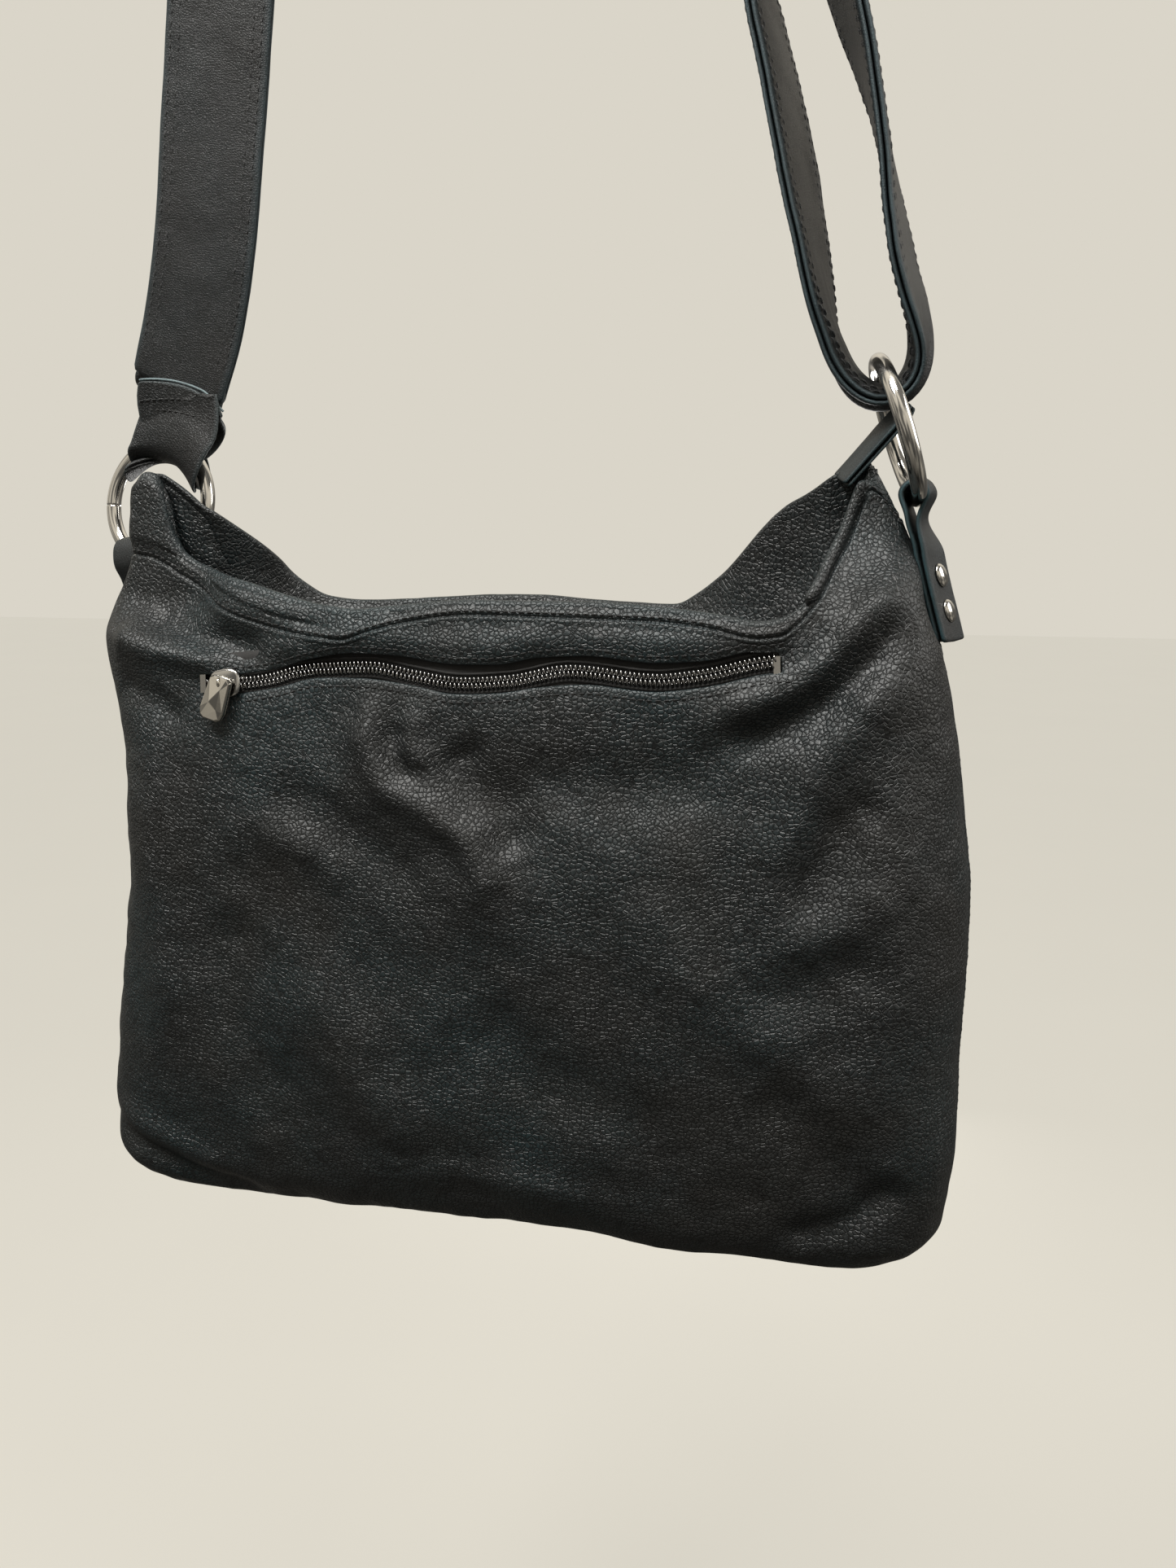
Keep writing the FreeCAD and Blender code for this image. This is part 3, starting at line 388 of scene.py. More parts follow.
RAW = g((92, 108, 112))
M_BODY = leather("body_leather", g((27, 30, 31)), g((22, 36, 39)), g((31, 30, 28)), RAW, rough=0.38, grain=560.0, bump=0.74,
                 coat=0.06, cell_dist=0.0006)
M_STRAP = leather("strap_leather", g((18, 19, 20)), g((20, 25, 27)), g((22, 21, 20)), g((62, 80, 86)), rough=0.42, grain=1150.0,
                  bump=0.5, coat=0.05, cell_dist=0.0003)
M_TAB = leather("tab_leather", g((30, 34, 36)), g((30, 44, 48)), g((34, 33, 31)), g((38, 66, 72)), rough=0.46,
                grain=1100.0, bump=0.4, coat=0.05, cell_dist=0.0003)
M_FLAP = leather("flap_leather", g((15, 16, 17)), g((18, 22, 24)), g((20, 19, 18)), g((128, 144, 148)), rough=0.46,
                 grain=900.0, bump=0.7, coat=0.04, cell_dist=0.0003)


def thread(name, col):
    m, nt, b = node_mat(name)
    tc = nt.nodes.new("ShaderNodeTexCoord")
    wv = nt.nodes.new("ShaderNodeTexWave")
    wv.wave_type = "BANDS"
    wv.bands_direction = "DIAGONAL"
    wv.inputs["Scale"].default_value = 900.0
    wv.inputs["Distortion"].default_value = 1.0
    nt.links.new(tc.outputs["Object"], wv.inputs["Vector"])
    bp = nt.nodes.new("ShaderNodeBump")
    bp.inputs["Strength"].default_value = 0.5
    bp.inputs["Distance"].default_value = 0.0002
    nt.links.new(wv.outputs["Fac"], bp.inputs["Height"])
    nt.links.new(bp.outputs[0], b.inputs["Normal"])
    nt.links.new(mix_col(nt, wv.outputs["Fac"], tuple(0.55 * c for c in col[:3]) + (1,), col), b.inputs["Base Color"])
    b.inputs["Roughness"].default_value = 0.62
    b.inputs["Sheen Weight"].default_value = 0.2
    return m


M_THREAD = thread("sewing_thread", g((11, 12, 13)))


def metal(name, col, rough, scratch=0.5, dirt=0.35):
    m, nt, b = node_mat(name)
    tc = nt.nodes.new("ShaderNodeTexCoord")
    vec = tc.outputs["Object"]
    n1 = tex_noise(nt, vec, 260.0, 5.0, 0.65)
    n2 = tex_noise(nt, vec, 2400.0, 2.0, 0.6)
    n3 = tex_noise(nt, vec, 60.0, 3.0, 0.5)
    r = math_node(nt, "ADD", math_node(nt, "MULTIPLY", n1.outputs["Fac"], 0.18 * scratch), rough - 0.05 * scratch)
    r = math_node(nt, "ADD", r, math_node(nt, "MULTIPLY", n2.outputs["Fac"], 0.06 * scratch), clamp=True)
    nt.links.new(r, b.inputs["Roughness"])
    spots = ramp(nt, n3.outputs["Fac"], [(0.52, (0, 0, 0, 1)), (0.72, (1, 1, 1, 1))])
    dark = tuple(c * 0.55 for c in col[:3]) + (1,)
    nt.links.new(mix_col(nt, math_node(nt, "MULTIPLY", spots, dirt), col, dark), b.inputs["Base Color"])
    bp = nt.nodes.new("ShaderNodeBump")
    bp.inputs["Strength"].default_value = 0.12
    bp.inputs["Distance"].default_value = 0.0001
    nt.links.new(n1.outputs["Fac"], bp.inputs["Height"])
    nt.links.new(bp.outputs[0], b.inputs["Normal"])
    b.inputs["Metallic"].default_value = 1.0
    return m


M_RING = metal("nickel", g((222, 219, 213)), 0.09, 0.4, 0.3)
M_ZIPM = metal("zip_nickel", g((188, 186, 182)), 0.14, 0.5, 0.3)
M_GUN = metal("pull_nickel", g((206, 202, 194)), 0.05, 0.2, 0.06)
M_COIL = metal("metallised_coil", g((138, 137, 136)), 0.16, 0.4, 0.2)


def cloth(name, col, col2, weave=1500.0, rough=0.85, strength=0.5):
    m, nt, b = node_mat(name)
    tc = nt.nodes.new("ShaderNodeTexCoord")
    vec = tc.outputs["Object"]
    waves = []
    for direction in ("X", "Z"):
        wv = nt.nodes.new("ShaderNodeTexWave")
        wv.wave_type = "BANDS"
        wv.bands_direction = direction
        wv.inputs["Scale"].default_value = weave / 6.28
        wv.inputs["Distortion"].default_value = 0.6
        nt.links.new(vec, wv.inputs["Vector"])
        waves.append(wv.outputs["Fac"])
    wv = math_node(nt, "MULTIPLY", waves[0], waves[1])
    nz = tex_noise(nt, vec, 300.0, 4.0, 0.6)
    h = math_node(nt, "ADD", wv, math_node(nt, "MULTIPLY", nz.outputs["Fac"], 0.6))
    bp = nt.nodes.new("ShaderNodeBump")
    bp.inputs["Strength"].default_value = strength
    bp.inputs["Distance"].default_value = 0.0003
    nt.links.new(h, bp.inputs["Height"])
    nt.links.new(bp.outputs[0], b.inputs["Normal"])
    nt.links.new(mix_col(nt, h, col, col2), b.inputs["Base Color"])
    b.inputs["Roughness"].default_value = rough
    b.inputs["Sheen Weight"].default_value = 0.15
    return m


M_TAPE = cloth("zip_tape_cloth", g((14, 14, 14)), g((42, 41, 40)), 5200.0, 0.8)
M_LINING = cloth("lining_cloth", g((26, 24, 24)), g((52, 49, 47)), 3600.0, 0.85)

# ------------------------------------------------------------------ body of the bag
SECTIONS = np.array([
    (-289.0, -138.0, 148.0, -36.0, 28.0, 20.0), (-284.0, -164.0, 168.0, -47.0, 38.0, 26.0),
    (-268.0, -180.0, 184.0, -54.0, 45.0, 32.0), (-228.0, -177.0, 187.0, -56.5, 48.0, 36.0),
    (-192.0, -172.0, 187.0, -56.0, 47.0, 38.0), (-148.0, -168.0, 187.0, -54.5, 44.0, 38.0),
    (-92.0, -167.0, 180.0, -49.0, 37.0, 34.0), (-75.0, -169.0, 177.0, -46.5, 34.0, 30.0),
    (-45.0, -173.5, 170.0, -41.9, 28.0, 24.0), (-33.0, -170.0, 166.0, -40.0, 25.0, 20.0),
    (-10.0, -158.5, 159.0, -27.0, 12.0, 12.0), (8.0, -156.0, 150.0, -20.0, 7.0, 8.0), (24.0, -154.0, 141.0, -16.0, 4.0, 6.5)])
SEAM = -4.0


def sec(z):
    return [pchip(SECTIONS[:, 0], SECTIONS[:, c], z) for c in range(1, 6)]


def shell(t, z, side):
    """Point of the smooth outer skin: t 0..1 from the left side seam round the
    front (side -1) or back (side +1) to the right side seam."""
    xl, xr, yf, yb, r = sec(z)
    ye = yf if side < 0 else yb
    a = np.abs(ye - SEAM) - r
    a = np.maximum(a, 0.3)
    r = np.minimum(r, np.abs(ye - SEAM) - a)
    w = (xr - xl) - 2 * r
    q = 0.5 * math.pi * r
    L = 2 * a + 2 * q + w
    s = np.clip(t, 0, 1) * L
    x, y = np.zeros_like(s), np.zeros_like(s)
    k1 = s < a
    k2 = (s >= a) & (s < a + q)
    k3 = (s >= a + q) & (s < a + q + w)
    k4 = (s >= a + q + w) & (s < a + 2 * q + w)
    k5 = s >= a + 2 * q + w
    ph = np.where(k2, (s - a) / r, 0)
    ph4 = np.where(k4, (s - a - q - w) / r, 0)
    x = np.where(k1, xl, x)
    y = np.where(k1, s, y)
    x = np.where(k2, xl + r - r * np.cos(ph), x)
    y = np.where(k2, a + r * np.sin(ph), y)
    x = np.where(k3, xl + r + (s - a - q), x)
    y = np.where(k3, a + r, y)
    x = np.where(k4, xr - r + r * np.sin(ph4), x)
    y = np.where(k4, a + r * np.cos(ph4), y)
    x = np.where(k5, xr, x)
    y = np.where(k5, a - (s - (a + 2 * q + w)), y)
    # pillow: the long face is a little fuller in the middle than at its ends
    mid = np.sin(np.pi * np.clip((x - xl) / (xr - xl), 0, 1))
    full = 1.0 - 0.10 * (1 - mid ** 0.7)
    return x, SEAM + side * y * full, z


def warp(x, y, z):
    """The ears: flattened, and the left one leaning forward past its ring."""
    wl = S((-104 - x) / 24.0) * S((z + 43) / 18.0)
    y = y + wl * ((-15.4 + (y - SEAM) * 0.30) - y)
    wr = S((x - 108) / 26.0) * S((z + 26) / 40.0)
    y = y + wr * ((-5.5 + (y - SEAM) * 0.42) - y)
    return y


FR = [(-162, 2), (-158, 11), (-155, 18), (-150, 21.5), (-145.5, 20.5), (-142.5, 15), (-140.5, 6), (-138, -3), (-132, -12),
      (-119, -18), (-99, -22.5), (-81, -27), (-65, -30.5), (-50, -32), (-30, -30), (-7, -28), (40, -28), (74, -30),
      (90, -32), (105, -34.5), (113, -33), (119, -28.5), (124.5, -21), (128.5, -11), (133.5, 0), (137, 11), (140, 18.5),
      (143, 22), (147, 18), (152, 10)]
BR = [(-162, 2), (-158, 11), (-155, 18), (-150, 21.5), (-145, 21.5), (-140, 19), (-132, 13), (-124, 5.5), (-115, -4.5),
      (-106, -15.5), (-98, -24.5), (-89, -30), (-72, -32), (4, -29), (66, -32), (74, -28), (86, -19), (103, 0), (107, 4), (121, 13),
      (133, 21), (140, 23.5), (145, 20), (152, 10)]
WELT = [(-170, -14), (-158, -10), (-149, -11), (-134, -18), (-115, -28), (-96, -35), (-67, -41), (-55, -42), (-45, -39),
        (-28, -34.5), (-4, -31.5), (41, -32.2), (70, -33), (87, -35), (105, -38.5), (113, -37.5), (119, -33), (124.5, -26),
        (129, -16), (134.5, -4.5), (138.5, 7), (142, 14), (146, 12), (152, 4)]
LIPH = [(-180, -60), (-123, -57.5), (-107, -57), (-85, -54), (-70, -50), (-51, -47), (-34, -47.5), (-8, -50.3), (8, -50),
        (24, -47), (43, -46), (67, -48), (85, -47), (111, -41), (117, -40.5), (180, -38)]
LIPL = [(-180, -66), (-123, -65), (-103, -64), (-85, -61), (-66, -56.5), (-47, -56), (-27, -58), (-8, -61), (5, -60.5),
        (24, -57.5), (43, -56), (67, -58), (85, -56), (111, -50), (117, -49.6), (180, -46)]


def line(pts, x):
    p = np.array(pts, float)
    return pchip(p[:, 0], p[:, 1], x)


# relief of the front, as (kind, amplitude mm, half width mm, line)
RIDGES = [
    (4.6, 7.5, [(152, -4), (150, -20), (136, -40), (124, -53), (106, -63), (88, -69)]),
    (-4.6, 8.5, [(156, -28), (147, -42), (131, -58), (112, -70), (92, -78)]),
    (3.2, 8.0, [(155, -48), (141, -68), (128, -85), (121, -104), (112, -122)]),
    (-2.6, 9.0, [(150, -92), (141, -104), (134, -122), (120, -140)]),
    (1.8, 9.0, [(158, -126), (138, -141), (118, -152)]),
    (-2.0, 11.0, [(154, -150), (130, -166), (100, -176)]),
    (4.4, 7.5, [(-40, -64), (-45, -80), (-36, -97), (-15, -107), (0, -117), (6, -130), (3, -146)]),
    (2.2, 4.5, [(-24, -67), (-26, -80), (-20, -91)]),
    (-2.4, 5.0, [(-33, -72), (-34, -86), (-24, -97)]),
    (-5.0, 11.0, [(-10, -78), (-2, -94), (12, -106), (20, -122)]),
    (-4.2, 14.0, [(6, -90), (34, -93), (64, -95), (98, -90)]),
    (-3.2, 10.0, [(-84, -100), (-60, -112), (-40, -124), (-20, -138)]),
    (1.8, 9.0, [(-92, -116), (-70, -124), (-52, -138)]),
    (-5.0, 8.5, [(-146, -30), (-128, -36), (-108, -42), (-86, -49)]),
    (3.4, 5.5, [(-158, -42), (-146, -46), (-128, -49), (-106, -52)]),
    (-2.4, 7.0, [(-158, -60), (-140, -66), (-124, -76)]),
    (2.0, 12.0, [(-150, -100), (-140, -150), (-132, -200)]),
    (-2.2, 14.0, [(-110, -150), (-100, -200), (-84, -235)]),
    (2.4, 15.0, [(-70, -170), (-50, -220), (-20, -250)]),
    (-3.0, 16.0, [(0, -180), (30, -215), (80, -225)]),
    (2.6, 14.0, [(60, -130), (80, -160), (120, -190), (150, -220)]),
    (-2.6, 13.0, [(110, -205), (140, -235), (160, -258)]),
    (-3.4, 6.0, [(-172, -256), (-150, -266), (-128, -275), (-100, -281)]),
    (2.4, 7.0, [(-168, -246), (-140, -258), (-110, -268)]),
    (-2.4, 7.0, [(168, -240), (150, -258), (120, -272)]),
    (2.0, 9.0, [(-60, -262), (0, -258), (60, -264)]),
]
BACK_RIDGES = [
    (4.0, 10.0, [(-150, -10), (-130, -45), (-100, -70), (-60, -85)]),
    (-4.0, 11.0, [(-158, -50), (-130, -75), (-95, -98), (-50, -108)]),
    (4.2, 10.0, [(140, 0), (128, -35), (100, -62), (60, -75)]),
    (-4.2, 11.0, [(160, -45), (130, -72), (92, -92), (40, -98)]),
    (2.6, 13.0, [(-160, -120), (-120, -140), (-90, -175)]),
    (-2.6, 14.0, [(-60, -130), (0, -150), (70, -140)]),
    (2.6, 14.0, [(110, -120), (90, -160), (60, -200)]),
    (-2.6, 14.0, [(-130, -200), (-80, -225), (-20, -228)]),
    (2.4, 14.0, [(30, -215), (90, -235), (150, -245)]),
    (-3.0, 8.0, [(-172, -250), (-140, -268), (-100, -279)]),
    (-3.0, 8.0, [(178, -246), (150, -266), (110, -278)]),
]


def relief(x, z, side, calm):
    """How far the skin stands out, mm. calm 0..1 keeps it flat near seams."""
    h = np.zeros_like(x)
    for amp, wd, pts in (RIDGES if side < 0 else BACK_RIDGES):
        d, al = dist_poly(x, z, pts)
        ends = np.clip(np.minimum(al, 1 - al) * 5 + 0.25, 0, 1)
        h += 1.12 * amp * ends * np.exp(-(d / wd) ** 2)
    h += 1.9 * noise2(x / 62.0, z / 52.0, 1 + side) + 1.0 * noise2(x / 27.0, z / 30.0, 5 + side)
    h += 0.42 * noise2(x / 11.0 + 0.2 * z / 11.0, z / 13.0, 9 + side)
    wr = 1 - np.abs(noise2((x + 0.5 * z) / 9.0, (z - 0.35 * x) / 17.0, 12 + side))
    h += 0.5 * wr ** 4 * (0.4 + 0.6 * noise2(x / 45.0, z / 45.0, 15)) - 0.1
    h += 0.12 * noise2(x / 3.4, z / 3.4, 20 + side)
    return h * calm


def build_panel(side):
    edge = FR if side < 0 else BR
    # columns: finer at the ears
    tt = np.linspace(0, 1, 3001)
    xz, _, _ = shell(tt, np.full_like(tt, -32.0), side)
    xs_all = xz
    dens = 0.62 + 0.9 * (np.exp(-((xs_all + 140) / 14.0) ** 2) + np.exp(-((xs_all - 134) / 18.0) ** 2)) \
        + 0.5 * (tt < 0.06) + 0.5 * (tt > 0.94)
    cum = np.concatenate([[0], np.cumsum((dens[1:] + dens[:-1]) / 2)])
    cum /= cum[-1]
    ncol = 236 if side < 0 else 190

    def t_of(frac):
        return np.interp(frac, cum, tt)

    slot_l, slot_r = -116.0, 115.5
    if side < 0:
        xe, _, _ = shell(tt, np.full_like(tt, -55.0), side)
        ta, tb = np.interp(slot_l, xe, tt), np.interp(slot_r, xe, tt)
        fa, fb = np.interp(ta, tt, cum), np.interp(tb, tt, cum)
        na, nb = int(ncol * fa), int(ncol * (fb - fa))
        T = np.concatenate([t_of(np.linspace(0, fa, na + 1)), t_of(np.linspace(fa, fb, nb + 1))[1:],
                            t_of(np.linspace(fb, 1, ncol - na - nb + 1))[1:]])
        ja, jb = na, na + nb
    else:
        T = t_of(np.linspace(0, 1, ncol + 1))
        ja = jb = -1
    nc = len(T)

    def settle(fn, z0):
        z = np.full(nc, float(z0))
        for _ in range(25):
            x, _, _ = shell(T, z, side)
            z = 0.5 * z + 0.5 * fn(x)
        return z

    z_rim = settle(lambda x: line(edge, x), 0)
    xr_, _, _ = shell(T, z_rim, side)
    if side < 0:
        z_w = np.minimum(settle(lambda x: line(WELT, x), -20), z_rim - 3.0)
        z_h = np.minimum(settle(lambda x: line(LIPH, x), -50), z_w - 5.0)
        z_l = np.minimum(settle(lambda x: line(LIPL, x), -58), z_h - 5.0)
    else:
        z_w = z_rim - 3.6
        z_h = z_rim - 20.0
        z_l = z_h - 8.0

    rows = []      # (z array, extra outward shift, tag)

    def add(z, out=0.0, tag="skin"):
        rows.append((np.array(z, float), out, tag))

    zb = np.full(nc, -289.0)
    n1 = 104 if side < 0 else 78
    for k in range(n1):
        f = k / n1
        f = 0.55 * f + 0.45 * S(f) if f < 0.5 else f
        add(zb + (z_l - zb) * f)
    i_lo = len(rows)
    add(z_l)
    if side < 0:
        for k in range(1, 6):
            add(z_l + (z_h - z_l) * k / 6.0)
    i_hi = len(rows)
    add(z_h)
    n3 = 16
    for k in range(1, n3):
        add(z_h + (z_w - 1.9 - z_h) * k / n3)
    if side < 0:
        add(z_w - 1.9, 0.25)
        add(z_w - 1.1, 0.45, "edge")
        add(z_w - 0.35, 0.15, "edge")
        i_w = len(rows)
        add(z_w, -0.9, "groove")
        add(z_w + 0.45, -0.1, "edge")
        add(z_w + 1.2, 0.35)
        add(z_w + 2.2, 0.2)
        top0 = 3.0
    else:
        add(z_w - 1.0, 0.0)
        i_w = len(rows)
        add(z_w, -0.5, "groove")
        add(z_w + 0.9, 0.1)
        top0 = 1.4
    gap = np.maximum(z_rim - (z_w + top0), 0.05)
    nt_ = 14
    for k in range(nt_):
        add(z_w + top0 + gap * k / nt_, 0.0, "band")
    add(z_rim, 0.0, "rim")
    Z = np.stack([r[0] for r in rows])
    OUT = np.stack([np.full(nc, r[1]) for r in rows])
    TT = np.broadcast_to(T, Z.shape)
    X, Y, _ = shell(TT, Z, side)
    Y = warp(X, Y, Z)

    # outward normals from the smooth skin
    def normals(X, Y, Z):
        du = np.stack([np.gradient(X, axis=1), np.gradient(Y, axis=1), np.gradient(Z, axis=1)], -1)
        dv = np.stack([np.gradient(X, axis=0), np.gradient(Y, axis=0), np.gradient(Z, axis=0)], -1)
        n = np.cross(du, dv) if side < 0 else -np.cross(du, dv)
        return n / np.maximum(np.linalg.norm(n, axis=2), 1e-9)[..., None]

    P = np.stack([X, Y, Z], -1)
    N = normals(X, Y, Z)
    # calm near the side seams, the rim and the bottom
    calm = S(TT / 0.05 + 0.15) * S((1 - TT) / 0.05 + 0.15)
    calm = calm * (1 - 0.75 * S((Z - (z_rim - 26)[None]) / 18.0) * (1 if side < 0 else 0.8))
    ears = S((np.abs(X) - 112) / 20.0) * S((Z + 30) / 15.0)
    calm = calm * (1 - 0.7 * ears)
    H = relief(X, Z, side, calm)
    if side < 0:
        # the leather above the pocket puffs out over the chain; below it lies a little back
        inx = S((X - slot_l + 14) / 20.0) * S((slot_r + 8 - X) / 16.0)
        up = np.exp(-((Z - (z_h[None] + 6.0)) / 6.5) ** 2) * (Z >= z_h[None] - 0.1)
        H += inx * up * (2.2 + 0.9 * noise2(X / 26.0, Z / 80.0, 31))
        dn = np.exp(-((Z - (z_l[None] - 5.0)) / 7.0) ** 2) * (Z <= z_l[None] + 0.1)
        H += inx * dn * 0.7
        H += -1.3 * inx * np.exp(-((Z - (z_l[None] - 3.6)) / 0.9) ** 2) * 0.35
        # soft roll of the fold above the welt at the left ear
        fold = S((-60 - X) / 40.0) * S((Z - z_w[None] - 1.0) / 5.0) * S((z_rim[None] - Z) / 3.0 + 0.3)
        H += 2.2 * fold
        crease = np.exp(-((Z - z_w[None] - 4.6) / 0.9) ** 2) * S((-50 - X) / 30.0)
        H -= 0.8 * crease
    H += 0.22 * noise2(X / 5.0, Z / 5.0, 40 + side)
    # the side seams lie in a shallow groove
    sg = np.minimum(TT, 1 - TT)
    P = P + N * (H + OUT)[..., None]
    P[..., 1] += -side * 0.0
    seam = np.exp(-(sg / 0.0035) ** 2)
    P = P - N * (1.0 * seam)[..., None]
    P = P + N * (0.9 * np.exp(-((sg - 0.011) / 0.005) ** 2))[..., None]
    # lifted bottom edge in the middle of the base
    lift = 6.5 * np.exp(-((P[..., 0] - 5) / 62.0) ** 2) * S((-236 - P[..., 2]) / 50.0)
    P[..., 2] += lift

    # bottom: rows in to the seam line under the bag
    nb_ = 12
    base = P[0]
    bott = []
    for k in range(nb_, 0, -1):
        q = k / nb_
        c = base.copy()
        xc = base[:, 0] * (1 - 0.05 * q)
        yc = base[:, 1] * (1 - q) + SEAM * q
        zc = base[:, 2] - 2.6 * math.sin(q * math.pi / 2) + 0.5 * noise2(base[:, 0] / 18, yc / 14, 50)
        c[:, 0], c[:, 1], c[:, 2] = xc, yc, zc
        if k == nb_:
            c[:, 2] += 0.9
        bott.append(c)
    P = np.concatenate([np.stack(bott), P])
    N = np.concatenate([np.broadcast_to(V3(0, 0, -1), (nb_, nc, 3)), N])
    i_lo, i_hi, i_w = i_lo + nb_, i_hi + nb_, i_w + nb_
    i_rim = len(P) - 1

    # roll over the rim and down inside as the facing
    rim, nr_ = P[-1], N[-1]
    rr = 2.3
    xr_ = rim[:, 0]
    inw = -nr_.copy()
    inw[:, 2] = 0
    inw /= np.maximum(np.linalg.norm(inw, axis=1), 1e-6)[:, None]
    # at the tips of the ears the two rims meet, so the roll is tight there
    thick = np.clip(np.abs(rim[:, 1] - np.where(xr_ < 0, -15.4, -5.5)) * 0.55, 0.5, rr) * np.ones(nc)
    endf = S(np.minimum(T, 1 - T) / 0.02)
    r_ = thick * (0.25 + 0.75 * endf)
    r_ = r_ * (1 - (0.5 if side < 0 else 0.3) * S((xr_ - 110) / 10.0))
    extra = []
    for a in (25, 55, 90, 125, 155, 180):
        aa = math.radians(a)
        extra.append(rim + inw * (r_ * (1 - math.cos(aa)))[:, None] + V3(0, 0, 1) * (r_ * math.sin(aa) * 0.9)[:, None])
    inner = extra[-1]
    xc = np.clip(inner[:, 0], -108, 108)
    tz = np.where(np.abs(xr_) < 110, -51.2, 0)
    over = np.clip((np.abs(xr_) - 108) / 40.0, 0, 1)
    tz = -51.2 * (1 - over) + (z_rim - 12.0) * over
    tz = np.minimum(tz, z_rim - 8)
    ymid = np.where(xr_ < 0, -8 + over * (-15.6 + 8), -8 + over * (-5.5 + 8))
    ty = ymid + side * (7.2 * (1 - over) + 0.4)
    tx = inner[:, 0] * (1 - 0.03 * over)
    target = np.stack([tx, ty, tz], 1)
    nf = 12
    deep = 3.0 * (1 - 0.4 * over)
    for k in range(1, nf + 1):
        q = k / nf
        c = inner * (1 - q) + target * q
        # the facing bellies outward, so the trough is open
        c = c + (-inw) * (deep * math.sin(math.pi * q) * 0.9)[:, None] * 1.0
        c[:, 1] += 0.5 * noise2(c[:, 0] / 16.0, c[:, 2] / 14.0, 60 + side) * math.sin(math.pi * q)
        extra.append(c)
    allP = np.concatenate([P, np.stack(extra)])
    nrow = len(allP)

    def hole(i, j):
        return side < 0 and i_lo <= i < i_hi and ja <= j < jb

    faces = grid_faces(nrow, nc, flip=(side > 0), skip=hole)
    wear = np.zeros((nrow, nc))
    if side < 0:
        wear[i_w - 2:i_w, :] = 0.02
        wear[i_w + 1, :] = 0.02
        wear[i_hi, ja:jb + 1] = 0.3
        wear[i_lo, ja:jb + 1] = 0.12
        rt = S((xr_ - 116) / 8.0)
        wear[i_w - 2:i_rim + 3, :] = np.maximum(wear[i_w - 2:i_rim + 3, :], 0.08 * rt[None, :])
    wear[i_rim:i_rim + 5, :] = np.maximum(wear[i_rim:i_rim + 5, :], 0.08)
    name = "front_leather" if side < 0 else "back_leather"
    ob = mesh(name, allP.reshape(-1, 3), faces, [M_BODY], body="bag", slot="body_leather", attr=wear.ravel())
    so = ob.modifiers.new("thick", "SOLIDIFY")
    so.thickness = 0.0017
    so.offset = -1.0
    so.use_even_offset = False
    sub = ob.modifiers.new("sub", "SUBSURF")
    sub.levels = 1
    sub.render_levels = 1
    return ob, P, N, (i_lo, i_hi, i_w, i_rim, ja, jb), (z_l, z_h, z_w, z_rim), T


front, FP, FN, FI, FZ, FT = build_panel(-1)
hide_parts("front_panel", "front_top_facing")
back, BP, BN, BI, BZ_, BT = build_panel(1)
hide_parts("back_panel", "back_top_facing")

# stitching on the bag
st = Bag()


def surface_row(P, N, xs, zfun, out):
    """Points of a panel grid at given x and height, lifted by out."""
    pts, nrm = [], []
    for x in xs:
        z = zfun(x)
        d = (P[..., 0] - x) ** 2 + (P[..., 2] - z) ** 2 + np.where(N[..., 1] > 0.3, 1e6, 0)
        k = np.argpartition(d.ravel(), 6)[:6]
        w = 1.0 / (d.ravel()[k] + 0.05)
        w /= w.sum()
        p = (P.reshape(-1, 3)[k] * w[:, None]).sum(0)
        n = unit((N.reshape(-1, 3)[k] * w[:, None]).sum(0))
        p[0], p[2] = x, z
        pts.append(p + n * out)
        nrm.append(n)
    pts, nrm = np.array(pts), np.array(nrm)
    ker = np.array([1, 2, 3, 2, 1.0]) / 9
    for c in (1,):
        pad = np.pad(pts[:, c], 2, mode="edge")
        pts[:, c] = np.convolve(pad, ker, mode="valid")
    return pts, nrm


i_lo, i_hi, i_w, i_rim, ja, jb = FI


def col_row(i_row, dz, j0, j1, out):
    """A row along grid row i_row, moved dz up the surface."""
    z = FP[i_row, :, 2] + dz
    pts, nrm = [], []
    for j in range(j0, j1):
        col = FP[12:i_rim + 1, j]
        zz = col[:, 2]
        o = np.argsort(zz)
        p = np.array([np.interp(z[j], zz[o], col[o, c]) for c in range(3)])
        n = FN[min(max(np.searchsorted(zz[o], z[j]) + 12, 0), i_rim), j]
        pts.append(p + n * out)
        nrm.append(n)
    return np.array(pts), np.array(nrm)


nc_f = FP.shape[1]
p_, n_ = col_row(i_w, 1.7, 4, nc_f - 4, 0.12)
stitch_row(st, p_, n_, 3.1, 2.1, 0.36)
p_, n_ = col_row(i_w, -1.9, 4, nc_f - 4, 0.1)
stitch_row(st, p_[int(len(p_) * 0.93):], n_[int(len(p_) * 0.93):], 3.1, 2.1, 0.36)
# pocket stitching: below the chain, above it, and round its right end
p_, n_ = col_row(i_lo, -3.4, ja + 8, jb + 3, 0.1)
stitch_row(st, p_, n_, 3.2, 2.2, 0.36)
p_, n_ = col_row(i_hi, 2.6, ja + 6, jb + 3, 0.1)
stitch_row(st, p_, n_, 3.2, 2.2, 0.36)
jr = jb + 3
zz = np.linspace(FP[i_lo, jr, 2] - 3.0, FP[i_hi, jr, 2] + 2.4, 8)
col = FP[12:i_rim, jr]
pr = np.array([[np.interp(z, col[:, 2], col[:, c]) for c in range(3)] for z in zz])
nr2 = np.repeat(FN[i_lo, jr][None], 8, 0)
stitch_row(st, pr + nr2 * 0.1, nr2, 3.0, 2.1, 0.36)
